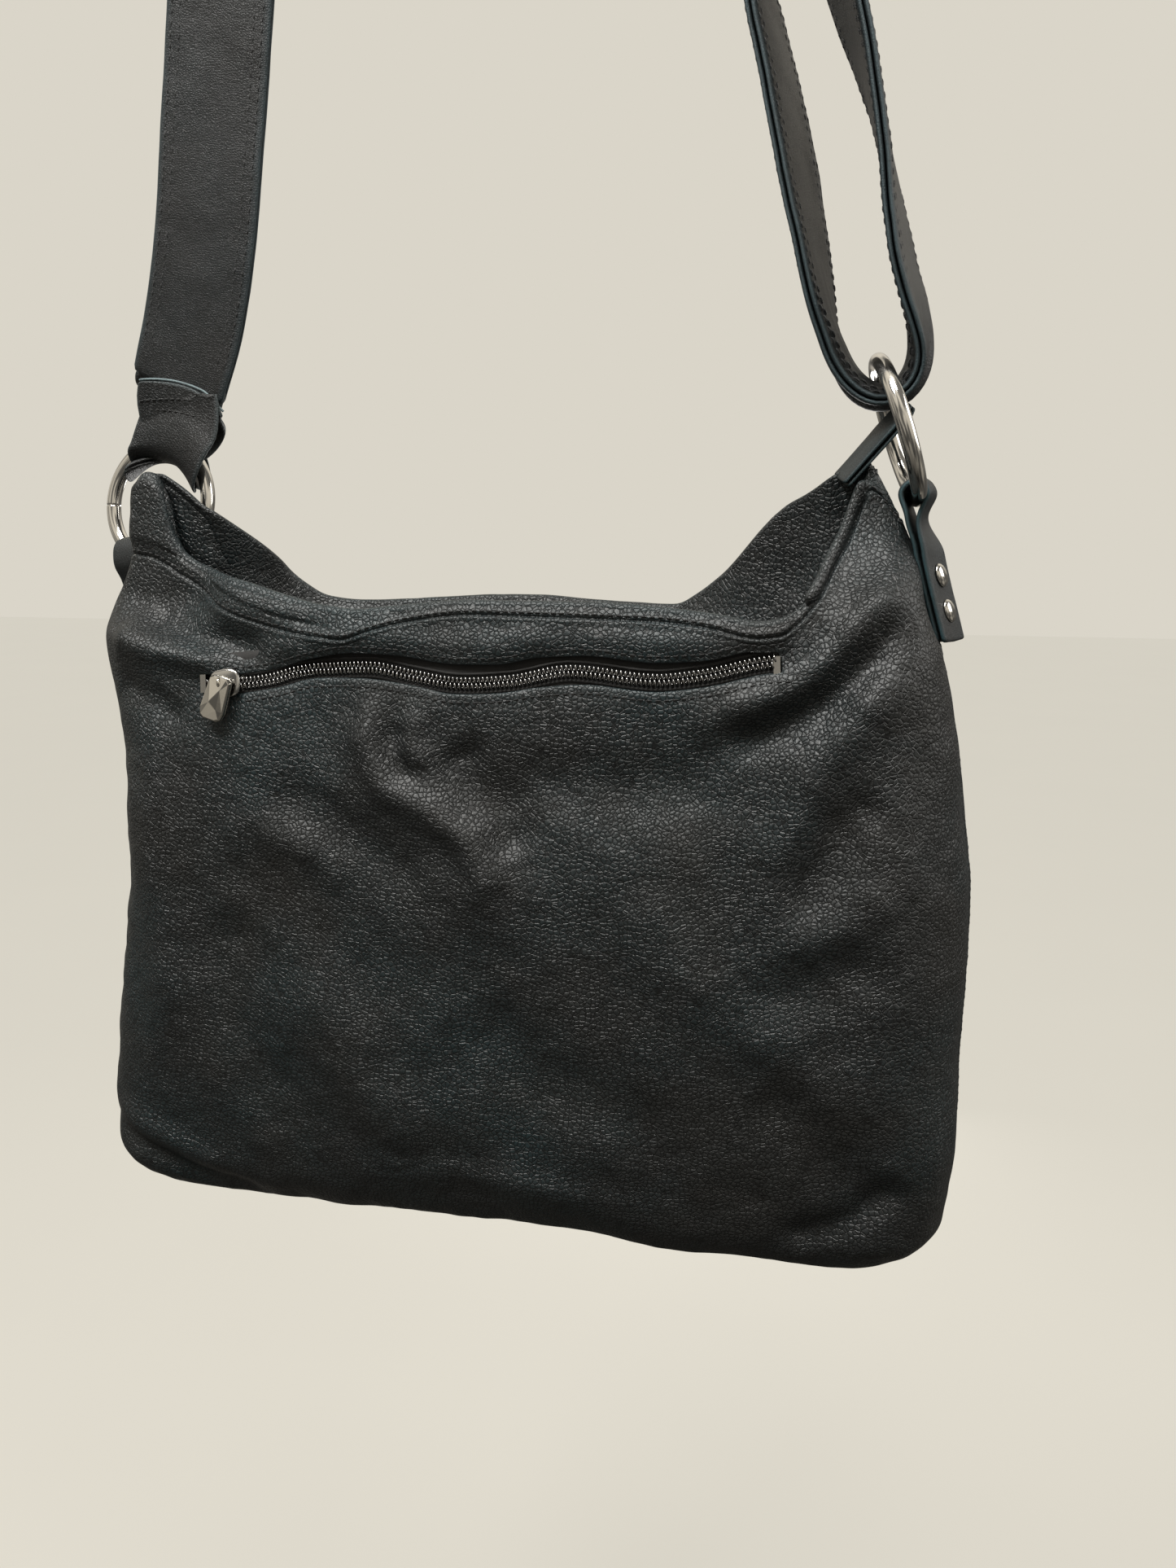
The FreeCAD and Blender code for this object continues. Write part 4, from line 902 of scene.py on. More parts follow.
# back rim
bi_lo, bi_hi, bi_w, bi_rim, _, _ = BI
pb = BP[bi_w + 1, 4:-4] + BN[bi_w + 1, 4:-4] * 0.2
stitch_row(st, pb, BN[bi_w + 1, 4:-4], 3.3, 2.2, 0.36)
# side seams: one row each side of the seam
for P, N in ((FP, FN), (BP, BN)):
    for j in (4, P.shape[1] - 5):
        ps = P[14:-6, j] - N[14:-6, j] * 0.1
        stitch_row(st, ps[::1], N[14:-6, j], 3.4, 2.3, 0.34, lift=-0.22)
st.make("bag_stitching", [M_THREAD], body="bag", slot="body_leather")

# lining and pocket pouch, inside the bag
for nm, ins, node in (("lining_sack", 9.0, "lining"),):
    rows = []
    zz = np.concatenate([np.linspace(-283, -262, 6), np.linspace(-250, -56, 18)])
    ts = np.linspace(0, 1, 60)
    for z in zz:
        a = shell(ts, np.full(60, z), -1)
        b_ = shell(ts[::-1], np.full(60, z), 1)
        ring_ = np.concatenate([np.stack([a[0], a[1]], 1), np.stack([b_[0], b_[1]], 1)[1:-1]])
        c = ring_.mean(0)
        d = ring_ - c
        sc = (np.abs(d).max(0) - ins - 3.0) / np.abs(d).max(0)
        q = c + d * sc
        wob = 0.8 * noise2(q[:, 0] / 20.0, np.full(len(q), z / 20.0), 70)
        rows.append(np.column_stack([q[:, 0], q[:, 1] + wob, np.full(len(q), z + 4)]))
    R_ = np.array(rows)
    nr0, nc0 = R_.shape[:2]
    fc = grid_faces(nr0, nc0, closed_c=True)
    fc.append(tuple(range(nc0))[::-1])
    o = mesh(nm, R_.reshape(-1, 3), fc, [M_LINING], body="bag", slot="lining_cloth")
    so = o.modifiers.new("thick", "SOLIDIFY")
    so.thickness = 0.0006
    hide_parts(node)
rows = []
for z in np.linspace(-188, -68, 26):
    u = np.linspace(-1, 1, 40)
    bel = 3.2 * math.sin(math.pi * (z + 188) / 120.0) ** 0.7
    xf = -1 + 112 * np.sign(u) * np.abs(u) ** 0.92
    yf_ = -27.0 - bel * (1 - u ** 4) * 0.6 - 0.4
    yb_ = -27.0 + bel * (1 - u ** 4) * 0.8 + 0.6
    fr = np.column_stack([xf, yf_ + 0.4 * noise2(xf / 18, np.full(40, z / 18), 75), np.full(40, z)])
    bk = np.column_stack([xf, yb_ + 0.4 * noise2(xf / 18, np.full(40, z / 18), 76), np.full(40, z)])[::-1]
    rows.append(np.concatenate([fr, bk]))
R_ = np.array(rows)
fc = grid_faces(26, 80, closed_c=True)
fc.append(tuple(range(80))[::-1])
o = mesh("pocket_pouch", R_.reshape(-1, 3), fc, [M_LINING], body="bag", slot="lining_cloth")
so = o.modifiers.new("thick", "SOLIDIFY")
so.thickness = 0.0005
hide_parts("pocket_bag")


# ------------------------------------------------------------------ zips
def zip_chain(bag, C, LAT, NRM, pitch=1.72, wire=0.42, wide=1.25, high=0.9):
    """Two rows of coil turns along C; LAT across the chain, NRM outward."""
    C, LAT, NRM = (np.asarray(a, float) for a in (C, LAT, NRM))
    L = np.concatenate([[0], np.cumsum(np.linalg.norm(np.diff(C, axis=0), axis=1))])
    n = int(L[-1] / pitch)
    per = 10
    for s in (-1, 1):
        q = np.linspace(0, n * pitch, n * per + 1)
        ph = 2 * np.pi * q / pitch + (0 if s < 0 else np.pi)
        c = np.stack([np.interp(q, L, C[:, k]) for k in range(3)], 1)
        la = np.stack([np.interp(q, L, LAT[:, k]) for k in range(3)], 1)
        nn = np.stack([np.interp(q, L, NRM[:, k]) for k in range(3)], 1)
        p = c + la * (s * 1.15 + wide * np.cos(ph))[:, None] * 1.0 + nn * (high * np.sin(ph))[:, None]
        v, f = tube(p, wire, 6)
        bag.add(v, f)


def strip(C, LAT, NRM, w0, w1, lift, thick=0.35, nw=5, ripple=0.0):
    """Flat tape from lateral w0 to w1."""
    C, LAT, NRM = (np.asarray(a, float) for a in (C, LAT, NRM))
    u = np.linspace(w0, w1, nw)
    rows = C[:, None] + LAT[:, None] * u[None, :, None] + NRM[:, None] * lift
    if ripple:
        rows = rows + NRM[:, None] * (ripple * noise2(C[:, None, 0] / 14.0, u[None] / 9.0, 80))[..., None]
    lo = rows - NRM[:, None] * thick
    ring_ = np.concatenate([rows, lo[:, ::-1]], 1)
    v = ring_.reshape(-1, 3)
    f = grid_faces(len(C), 2 * nw, closed_c=True)
    f.append(tuple(range(2 * nw))[::-1])
    f.append(tuple(range((len(C) - 1) * 2 * nw, len(C) * 2 * nw)))
    return v, f


# pocket chain follows the wavy slot
xs = np.linspace(-114.0, 113.5, 120)
WAVE = [(-123, -62), (-112, -61), (-88, -58.6), (-73, -54.6), (-43, -52.3), (-26, -55.0), (-7, -57.2), (12, -56), (37, -51.5),
        (68, -54.0), (85, -52.0), (110, -46.4), (117, -45.8)]
zc = line(WAVE, xs)
zlo = np.interp(xs, FP[i_lo, :, 0], FP[i_lo, :, 2])
zhi = np.interp(xs, FP[i_hi, :, 0], FP[i_hi, :, 2])
zc = np.clip(zc, zlo + 3.3, zhi - 3.0)
ylo = np.interp(xs, FP[i_lo, :, 0], FP[i_lo, :, 1])
ysm = np.convolve(np.pad(ylo, 4, mode="edge"), np.ones(9) / 9, mode="valid")
C = np.column_stack([xs, ysm + 1.1, zc])
C = smooth_path(C, 1.5)
T_, _, _ = frames_along(C)
LAT = np.array([unit(V3(0, 0.16, 1) - t * (V3(0, 0.16, 1) @ t)) for t in T_])
NRM = np.cross(T_, LAT)
NRM = np.where(NRM[:, 1:2] > 0, -NRM, NRM)
zb_ = Bag()
zip_chain(zb_, C, LAT, NRM)
pc = zb_.make("pocket_chain", [M_COIL], body="bag", slot="zip_coil")
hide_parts("pocket_zip_coil")
tb_ = Bag()
v, f = strip(C, LAT, NRM, 0.2, 12.5, -1.35, ripple=0.25)
tb_.add(v, f)
v, f = strip(C, LAT, NRM, -12.5, -0.2, -1.35, ripple=0.25)
tb_.add(v, f)
pt_ = tb_.make("pocket_tape", [M_TAPE], body="bag", slot="zip_tape")
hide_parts("pocket_zip_tape")
# stitched cords along the coil on the tape
cd = Bag()
for s in (-1, 1):
    v, f = tube(C + LAT * (s * 3.55) + NRM * -0.9, 0.45, 6)
    cd.add(v, f)
cd.make("pocket_tape_cords", [M_TAPE], body="bag", slot="zip_tape")

# main chain at the bottom of the trough
xs2 = np.linspace(-104, 104, 110)
C2 = np.column_stack([xs2, -8 + 0.5 * noise2(xs2 / 30, xs2 * 0, 90), -50.6 + 0.5 * noise2(xs2 / 26, xs2 * 0, 91)])
C2 = smooth_path(C2, 1.5)
LAT2 = np.repeat(V3(0, 1, 0)[None], len(C2), 0)
NRM2 = np.repeat(V3(0, 0, 1)[None], len(C2), 0)
zb_ = Bag()
zip_chain(zb_, C2, LAT2, NRM2)
mc = zb_.make("main_chain", [M_COIL], body="bag", slot="zip_coil")
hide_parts("main_zip_coil")
tb_ = Bag()
Cx = smooth_path(np.vstack([C2[0] + V3(-6, 0, 0), C2, C2[-1] + V3(6, 0, 0)]), 2.0)
L2, N2 = np.repeat(V3(0, 1, 0)[None], len(Cx), 0), np.repeat(V3(0, 0, 1)[None], len(Cx), 0)
for a, b_ in ((0.2, 12.2), (-12.2, -0.2)):
    v, f = strip(Cx, L2, N2, a, b_, -1.1, ripple=0.2)
    tb_.add(v, f)
mt = tb_.make("main_tape", [M_TAPE], body="bag", slot="zip_tape")
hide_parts("main_zip_tape")


def finish_cad(node, mat, bevel=0.0002):
    """Give a carried-over CAD node its own material."""
    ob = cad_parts[node]
    ob.data.materials.clear()
    ob.data.materials.append(mat)
    return ob


for n_ in ("pocket_zip_stops", "main_zip_stops", "main_zip_pull"):
    finish_cad(n_, M_ZIPM)


def slider_body(name, to_world, x0, y_face, body, node, sc=1.0):
    """Rounded slider: waisted top plate, back plate and an arched bridge."""
    b_ = Bag()
    k = 40
    a = np.linspace(0, 2 * np.pi, k, endpoint=False)
    ca, sa = np.cos(a), np.sin(a)
    ex = np.sign(ca) * np.abs(ca) ** 0.6 * 6.6 * sc
    ez = np.sign(sa) * np.abs(sa) ** 0.6 * (5.0 + 0.35 * (ca > 0) - 0.4 * np.cos(2 * a)) * sc
    for lay in ([(0.55, 0.0), (0.8, 0.06), (0.95, 0.3), (1.0, 0.62), (0.985, 1.1), (0.93, 1.45), (0.82, 1.62), (0.5, 1.75), (0.05, 1.8)],):
        v = []
        for sc_, h in lay:
            v += [to_world(V3(x0 + ex[j] * sc_, y_face + 0.1 - h, ez[j] * sc_)) for j in range(k)]
        f = grid_faces(len(lay), k, closed_c=True)
        f.append(tuple(range(k))[::-1])
        f.append(tuple(range((len(lay) - 1) * k, len(lay) * k)))
        b_.add(v, f)
    v = []
    for sc_, h in [(0.9, 0.0), (1.0, 0.25), (1.0, 0.8), (0.92, 1.0)]:
        v += [to_world(V3(x0 + ex[j] * sc_, y_face + 2.95 + h, ez[j] * sc_)) for j in range(k)]
    f = grid_faces(4, k, closed_c=True, flip=True)
    f.append(tuple(range(k)))
    f.append(tuple(range(3 * k, 4 * k))[::-1])
    b_.add(v, f)
    arch = [(-4.3, -1.4), (-4.3, -2.6), (-3.6, -3.9), (-1.8, -4.4), (0, -4.45), (1.8, -4.4), (3.3, -3.9), (3.9, -2.6), (3.9, -1.4)]
    c = smooth_path([tuple(to_world(V3(x0 + p, y_face + q, 0))) for p, q in arch], 0.5)
    v, f = tube(c, 0.62, 10)
    b_.add(v, f)
    o = b_.make(name, [M_ZIPM], body=body, slot="zip_metal")
    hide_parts(node)
    return o

# pocket pull: faceted plate under a small eye, in the pull's own frame
lean, rise = math.atan2(6.5, 42.0), math.radians(3.2)
Rx = np.array([[1, 0, 0], [0, math.cos(-lean), -math.sin(-lean)], [0, math.sin(-lean), math.cos(-lean)]])
Ry = np.array([[math.cos(-rise), 0, math.sin(-rise)], [0, 1, 0], [-math.sin(-rise), 0, math.cos(-rise)]])
ZR = Rx @ Ry
ZO = V3(-1.0, -43.25, -54.0)
PX = -112.0 + 7.5 + 1.0
py = 2.3 - 2.0 - 1.5 - 2.9


def zp(p):
    """Pocket zip frame to the working frame."""
    return ZO + np.asarray(p, float) @ ZR.T


def pull_plate(to_world, L=26.0, w_top=9.6, w_bot=12.4, th=2.6):
    """Plate hanging along -b, width along a, thickness along c; faceted front."""
    def ringp(inset, c):
        k = inset
        pts = [(-w_top / 2 + k, -1.6 - k), (-w_top / 2 + 1.6 + k * 0.5, -0.2 - k), (w_top / 2 - 1.6 - k * 0.5, -0.2 - k), (w_top / 2 - k, -1.6 - k),
               (w_bot / 2 - k, -L + 6.5 + k * 0.4), (w_bot / 2 - 0.9 - k, -L + 3.2 + k), (w_bot / 2 - 2.6 - k * 0.6, -L + 2.3 + k),
               (-w_bot / 2 + 2.6 + k * 0.6, -L + 2.3 + k), (-w_bot / 2 + 0.9 + k, -L + 3.2 + k), (-w_bot / 2 + k, -L + 6.5 + k * 0.4)]
        return [(a, b, c) for a, b in pts]
    loops = [ringp(0.35, -th * 0.5), ringp(0.0, -th * 0.32), ringp(0.0, th * 0.05), ringp(0.5, th * 0.34), ]
    v = [p for lp_ in loops for p in lp_]
    f = grid_faces(4, 10, closed_c=True)
    f.append(tuple(range(10)))
    nb0 = len(v)
    # two facet points make a diagonal ridge across the face
    v += [(w_top * 0.18, -5.5, th * 0.62), (-w_bot * 0.12, -L + 9.5, th * 0.80), (w_bot * 0.22, -L + 7.0, th * 0.55)]
    A, B_, C_ = nb0, nb0 + 1, nb0 + 2
    t0 = 30
    f += [(t0 + 1, t0 + 2, A), (t0 + 0, t0 + 1, A), (t0 + 2, t0 + 3, A), (t0 + 3, t0 + 4, A), (t0 + 4, C_, A), (A, C_, B_),
          (t0 + 4, t0 + 5, C_), (t0 + 5, t0 + 6, C_), (t0 + 6, t0 + 7, C_), (t0 + 7, B_, C_), (t0 + 7, t0 + 8, B_), (t0 + 8, t0 + 9, B_),
          (t0 + 9, t0 + 0, B_), (t0 + 0, A, B_)]
    return np.array([to_world(p) for p in v]), f


LEANP = math.radians(20.0)


def pull_place(p):
    a, b = p[0], p[1] + 2.6
    return zp(V3(PX + a * math.cos(LEANP) + b * math.sin(LEANP), py - p[2] - 0.2, b * math.cos(LEANP) - a * math.sin(LEANP)))


slider_body("pocket_slider_body", zp, PX, 2.3 - 2.0, "pocket_slider", "pocket_zip_slider")
slider_body("main_slider_body", lambda p: V3(p[0], -8 + p[2], -51.5 - p[1]), 104.0 - 7.5 - 1.0, -2.0, "main_slider", "main_zip_slider")
pv, pf = pull_plate(pull_place, L=20.5, w_top=9.4, w_bot=10.8)
pu = Bag()
pu.add(pv, pf)
ob = pu.make("pocket_pull", [M_GUN], smooth=False, body="pocket_pull", slot="zip_metal")
bv = ob.modifiers.new("bev", "BEVEL")
bv.width = 0.00025
bv.segments = 2
bv.limit_method = "ANGLE"
bv.angle_limit = math.radians(12)
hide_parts("pocket_zip_pull")
# eye ring round the bridge bar
a_ = np.linspace(0, 2 * np.pi, 28, endpoint=False)
eye = np.array([zp(V3(PX, py - 1.75 * math.cos(t), 1.75 * math.sin(t) - 0.1)) for t in a_])
v, f = tube(eye, 0.62, 10, closed=True)
eb = Bag()
eb.add(v, f)
eb.make("pocket_pull_eye", [M_GUN], body="pocket_pull", slot="zip_metal")


# ------------------------------------------------------------------ rings
def ring_axes(az, el):
    a, e = math.radians(az), math.radians(el)
    n = V3(math.cos(a) * math.cos(e), math.sin(a) * math.cos(e), math.sin(e))
    up = unit(V3(0, 0, 1) - n * n[2])
    return n, up, np.cross(up, n)


LC, RC_ = V3(-157.4, 3.0, 11.0), V3(150.5, -5.0, 35.0)
LN, LU, LS = ring_axes(81.0, -11.0)
RN, RU, RS = ring_axes(4.3, 19.2)
if LS[0] < 0:
    LS = -LS
RM, WR = 25.5, 3.0


def make_ring(name, c, up, sd, n, joint_deg, node, body):
    k = 160
    a = np.linspace(0, 2 * np.pi, k, endpoint=False)
    # the wire narrows a hair where its two ends meet
    j = math.radians(joint_deg)
    d = np.abs((a - j + np.pi) % (2 * np.pi) - np.pi)
    a = a + 0
    r = WR * (1 - 0.13 * np.exp(-(d / 0.012) ** 2))
    order = np.argsort(a)
    sides = 28
    b = np.linspace(0, 2 * np.pi, sides, endpoint=False)
    extra_a = np.array([j - 0.03, j - 0.015, j - 0.006, j, j + 0.006, j + 0.015, j + 0.03])
    a = np.sort(np.concatenate([a[d > 0.035], extra_a]))
    d = np.abs((a - j + np.pi) % (2 * np.pi) - np.pi)
    r = WR * (1 - 0.16 * np.exp(-(d / 0.008) ** 2))
    rad = sd[None] * np.cos(a)[:, None] + up[None] * np.sin(a)[:, None]
    P = c[None, None] + rad[:, None] * (RM + r[:, None, None] * np.cos(b)[None, :, None]) \
        + n[None, None] * (r[:, None, None] * np.sin(b)[None, :, None])
    f = grid_faces(len(a), sides, closed_c=True, closed_r=True)
    ob = mesh(name, P.reshape(-1, 3), f, [M_RING], body=body, slot="ring_metal")
    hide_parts(node)
    return ob


make_ring("left_ring_wire", LC, LU, LS, LN, 182, "left_ring", "left_ring")
make_ring("right_ring_wire", RC_, RU, RS, RN, 10, "right_ring", "right_ring")


# ------------------------------------------------------------------ bands of leather
def sweep_band(ctr, trav, nrm, width, lo, hi, nu=15, cup=None, arch0=None, arch1=None, rnd=0.55, edge_wear=0.8,
               wob=0.15, seed=0, k_ring=None, ring_r=None, ring_dir=None):
    """Rounded-edge band. ctr, trav, nrm (n,3), width (n). cup (n): the edges
    curl towards the face normal by this many mm. arch1: end rows pushed along
    the travel in the middle; arch0 is not used."""
    n = len(ctr)
    side = np.cross(trav, nrm)
    side /= np.maximum(np.linalg.norm(side, axis=1), 1e-9)[:, None]
    u = np.linspace(-1, 1, nu)
    th = hi - lo
    # profile: top from u=-1 to 1, rounded, bottom back
    prof = []
    e = rnd
    top = [(uu, hi) for uu in u]
    bot = [(uu, lo) for uu in u[::-1]]
    rows = []
    for i in range(n):
        w = width[i] / 2
        c = 0 if cup is None else cup[i]
        pts = []
        for uu, h in top:
            x = uu * w
            hh = h
            if abs(uu) == 1:
                x = np.sign(uu) * (w - 0.35 * th * e)
                hh = h - 0.22 * th * e
            pts.append((x, hh, uu, 0))
        pts.append((w, (lo + hi) / 2, 1, 1))
        for uu, h in bot:
            x = uu * w
            hh = h
            if abs(uu) == 1:
                x = np.sign(uu) * (w - 0.35 * th * e)
                hh = h + 0.22 * th * e
            pts.append((x, hh, uu, 0))
        pts.append((-w, (lo + hi) / 2, -1, 1))
        row = []
        for x, hh, uu, _ in pts:
            q = ctr[i] + side[i] * x + nrm[i] * (hh + c * uu * uu + 0.32 * c * math.sin(3.0 * math.pi * uu) ** 2)
            if k_ring is not None:
                d_ = ring_r - math.sqrt(max(ring_r ** 2 - x * x, 0))
                q = q - ring_dir * d_ * k_ring[i]
            if arch1 is not None:
                fade = max(0.0, 1 - (n - 1 - i) / 5.0)
                q = q + trav[i] * (arch1 * (1 - uu * uu) * fade)
            row.append(q)
        rows.append(row)
    R_ = np.array(rows)
    m = R_.shape[1]
    if wob:
        L = np.concatenate([[0], np.cumsum(np.linalg.norm(np.diff(ctr, axis=0), axis=1))])
        uu = np.array([p[2] for p in pts])
        nz = wob * (noise2(L[:, None] / 16.0, uu[None] * 1.1 + 3, seed) + 0.6 * noise2(L[:, None] / 6.0, uu[None] * 2.2 + 9, seed + 3))
        R_ = R_ + nrm[:, None] * nz[..., None]
    wear = np.zeros((n, m))
    wear[:, nu] = edge_wear
    wear[:, m - 1] = edge_wear
    wear[:, nu - 1] = wear[:, nu + 1] = wear[:, 0] = wear[:, m - 2] = edge_wear * 0.35
    f = grid_faces(n, m, closed_c=True)
    f.append(tuple(range(m))[::-1])
    f.append(tuple(range((n - 1) * m, n * m)))
    return R_, f, wear, side


SW, SL, NW = 45.0, 2.2, 24.0
RC = 14.2
left_slope, right_slope = 0.165, -0.255
lx0, lz0, rx0, rz0 = -112.5, 201.5, 96.8, 181.0
al, ar = math.atan(left_slope), math.atan(-right_slope)
nl, nr = (math.cos(al), -math.sin(al)), (-math.cos(ar), -math.sin(ar))
c1 = nl[0] * lx0 + nl[1] * lz0 + RC
c2 = nr[0] * rx0 + nr[1] * rz0 + RC
det = nl[0] * nr[1] - nl[1] * nr[0]
CX, CZ, CY = (c1 * nr[1] - nl[1] * c2) / det, (nl[0] * c2 - c1 * nr[0]) / det, -3.0


def on_left(zz):
    return lx0 + left_slope * (zz - lz0)


def on_right(zz):
    return rx0 + right_slope * (zz - rz0)


UP = unit(V3(right_slope, 0, 1))
OUT_ = V3(UP[2], 0, -UP[0])
BZ = 312.0
BC = V3(on_right(BZ), CY, BZ)


def slide_pt(s, m):
    return tuple(BC + UP * s + OUT_ * m)


P0 = [(-145.6, 4.0, 57.0, 0, 43.0, 0), (-136.0, 3.2, 83.0, 0, SW, 0), (-127.6, 2.2, 114.0, 0, SW, 0),
      (-119.8, 0.8, 158.0, 0, SW, 0), (lx0, -0.5, lz0, 0, SW, 0), (on_left(250), -1.5, 250, 4.0, SW, 0),
      (on_left(300), -2.2, 300, 14.0, SW, 0), (on_left(350), -2.7, 350, 29.0, SW, 0), (on_left(400), CY, 400, 47.0, SW, 0),
      (on_left(450), CY, 450, 65.0, SW, 0), (on_left(500), CY, 500, 80.0, SW, 0), (on_left(550), CY, 550, 88.0, SW, 0),
      (on_left(590), CY, 590, 90.0, SW, 0)]
a0, a1 = 180 - math.degrees(al), math.degrees(ar)
for i in range(11):
    a = math.radians(a0 + (a1 - a0) * i / 10)
    P0.append((CX + RC * math.cos(a), CY, CZ + RC * math.sin(a), 90.0, SW, 0))
for s, m in [(120, 0), (60, 0), (40, 0.6), (24, 4.3), (17, 4.2), (6, -6.9), (0, -7.1), (-6, -6.9), (-17, 4.2),
             (-24, 4.3), (-40, 0.6), (-60, 0)]:
    P0.append(slide_pt(s, m) + (90.0, SW, 0))
legs = [(rx0, rz0, SW, 0, 79), (105.0, 151.0, SW, 0, 77), (114.4, 112.0, SW, 0, 77), (121.3, 84.0, 42.0, 1.0, 80), (126.2, 70.5, 37.0, 3.0, 84),
        (132.6, 58.6, 31.0, 5.0, 88), (138.6, 52.4, 27.0, 5.5, 90), (145.0, 50.0, 26.0, 5.5, 90), (150.2, 52.6, 27.0, 5.5, 92), (153.6, 59.4, 31.0, 5.0, 96),
        (154.2, 69.0, 37.0, 3.0, 100), (152.4, 81.0, 42.0, 1.0, 102), (149.6, 93.0, SW, 0, 101), (146.6, 107.0, SW, 0, 99), (142.8, 124.0, SW, 0, 95),
        (136.0, 150.0, SW, 0, 90), (126.6, 179.0, SW, 0, 82), (114.8, 215.0, SW, 0, 74), (103.5, 248.0, SW, 0, 72)]
for xx, zz, wd, cu, ang_ in legs:
    P0.append((xx, CY, zz, ang_, wd, cu))
for s, m in [(-38, 11.6), (-24, 9.4), (-17, 9.2), (-9, 7.2), (-2.5, 4.9)]:
    P0.append(slide_pt(s, m) + (90.0, SW if s < -12 else 40.0, 0))
SP = smooth_path(P0, 4.0)
ctr = SP[:, :3]
trv = np.gradient(ctr, axis=0)
trv /= np.linalg.norm(trv, axis=1)[:, None]
nrm = []
for p, t in zip(SP, trv):
    m0 = unit(V3(0, -1, 0) - t * (t @ V3(0, -1, 0)))
    m1 = unit(V3(-t[2], 0, t[0]))
    c, s = math.cos(math.radians(p[3])), math.sin(math.radians(p[3]))
    m = m0 * c + m1 * s
    nrm.append(unit(m - t * (t @ m)))
nrm = np.array(nrm)
wid, cup_ = SP[:, 4], SP[:, 5]
# the strap curls towards the inside of the turn where the ring gathers it
cup_s = -cup_
RF, ff, wf, side_ = sweep_band(ctr, trv, nrm, wid, 0.05, SL, cup=cup_s, seed=101, wob=0.28)
face_ob = mesh("strap_face_layer", RF.reshape(-1, 3), ff, [M_STRAP], body="strap", slot="strap_leather", attr=wf.ravel())
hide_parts("strap_face")
RB, fb_, wb_, _ = sweep_band(ctr, trv, nrm, wid - 0.5, -SL, -0.05, cup=cup_s, seed=101, wob=0.28)
back_ob = mesh("strap_back_layer", RB.reshape(-1, 3), fb_, [M_STRAP], body="strap", slot="strap_leather", attr=wb_.ravel())
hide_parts("strap_backing")
for o in (face_ob, back_ob):
    sub = o.modifiers.new("sub", "SUBSURF")
    sub.levels = sub.render_levels = 1

# stitching: two rows along each long edge, on both sides
ss = Bag()
nu = 15
for off in (3.0, 6.6):
    for sgn in (-1, 1):
        w = wid / 2
        uu = sgn * (w - off * np.minimum(1, wid / SW))
        un = uu / w
        for hh, dr, i0 in ((SL + 0.02, 1, 4), (-SL - 0.02, -1, 4)):
            P = ctr + side_ * uu[:, None] + nrm * (hh + cup_s * un ** 2)[:, None]
            nz = 0.28 * (noise2(np.arange(len(ctr)) * 4.0 / 16.0, un * 1.1 + 3, 101) + 0.6 * noise2(np.arange(len(ctr)) * 4.0 / 6.0, un * 2.2 + 9, 104))
            P = P + nrm * nz[:, None]
            stitch_row(ss, P[i0:-3], nrm[i0:-3] * dr, 4.0, 2.7, 0.44, lift=-0.25)

# fold round the left ring and the flap in front
lr_ = math.radians(16.0)
dir_top = LU * math.cos(lr_) + LS * math.sin(lr_)
wire_top = LC + dir_top * RM
along = LS * math.cos(lr_) - LU * math.sin(lr_)
back_dir = np.cross(along, dir_top)
if back_dir[1] < 0:
    back_dir = -back_dir


def ring_pt(b, u, a=0.0):
    return wire_top + back_dir * b + dir_top * u + along * a


s0c, s0t, s0n = ctr[0], trv[0], nrm[0]
start = s0c - s0n * (SL / 2)
fold = [(start + s0t * 7.0, 43.0, 0), (start, 43.0, 0.0), (ring_pt(6.6, 15.0, -8.0), 42.0, 0.25), (ring_pt(7.9, 8.0, -11.5), 40.0, 0.6),
        (ring_pt(7.3, 0.5, -9.5), 37.0, 0.95), (ring_pt(5.9, -3.8, -6.0), 36.0, 1.0), (ring_pt(3.4, -6.2, -3.0), 36.0, 1.0), (ring_pt(0.0, -7.0), 36.0, 1.0),
        (ring_pt(-3.4, -6.2), 36.0, 1.0), (ring_pt(-6.2, -3.6, 1.2), 37.0, 1.0), (ring_pt(-7.8, 1.0, 2.4), 38.0, 0.85), (ring_pt(-8.4, 8.0, 3.8), 40.0, 0.5),
        (ring_pt(-8.1, 15.0, 4.6), 41.0, 0.2)]
top = s0c + s0n * (SL * 1.5 + 0.3)
fold.append((top + s0t * -5.0 + along * 4.2, 41.5, 0.05))
fold.append((top + s0t * 1.0 + along * 4.0, 41.5, 0))
FPth = smooth_path([tuple(p) + (wd, k) for p, wd, k in fold], 1.6)
fc_, ft_ = FPth[:, :3], np.gradient(FPth[:, :3], axis=0)
ft_ /= np.linalg.norm(ft_, axis=1)[:, None]
s0side = np.cross(s0t, s0n)
if s0side @ along < 0:
    s0side = -s0side
nn = []
prev = -s0n
NF = len(fc_)
for i in range(NF):
    q = i / (NF - 1)
    k = S(q / 0.14) * S((1 - q) / 0.2)
    sd = s0side * (1 - k) + along * k
    sd = unit(sd - ft_[i] * (ft_[i] @ sd))
    m = unit(np.cross(sd, ft_[i]))
    if m @ prev < 0:
        m = -m
    prev = m
    nn.append(m)
nn = np.array(nn)
if nn[NF // 2] @ dir_top > 0:
    nn = -nn
RFo, ffo, wfo, fside = sweep_band(fc_, ft_, nn, FPth[:, 3], -1.0, 1.0, nu=21, seed=130, wob=0.3, k_ring=FPth[:, 4],
                                  ring_r=RM, ring_dir=dir_top, arch1=3.4, edge_wear=0.3)
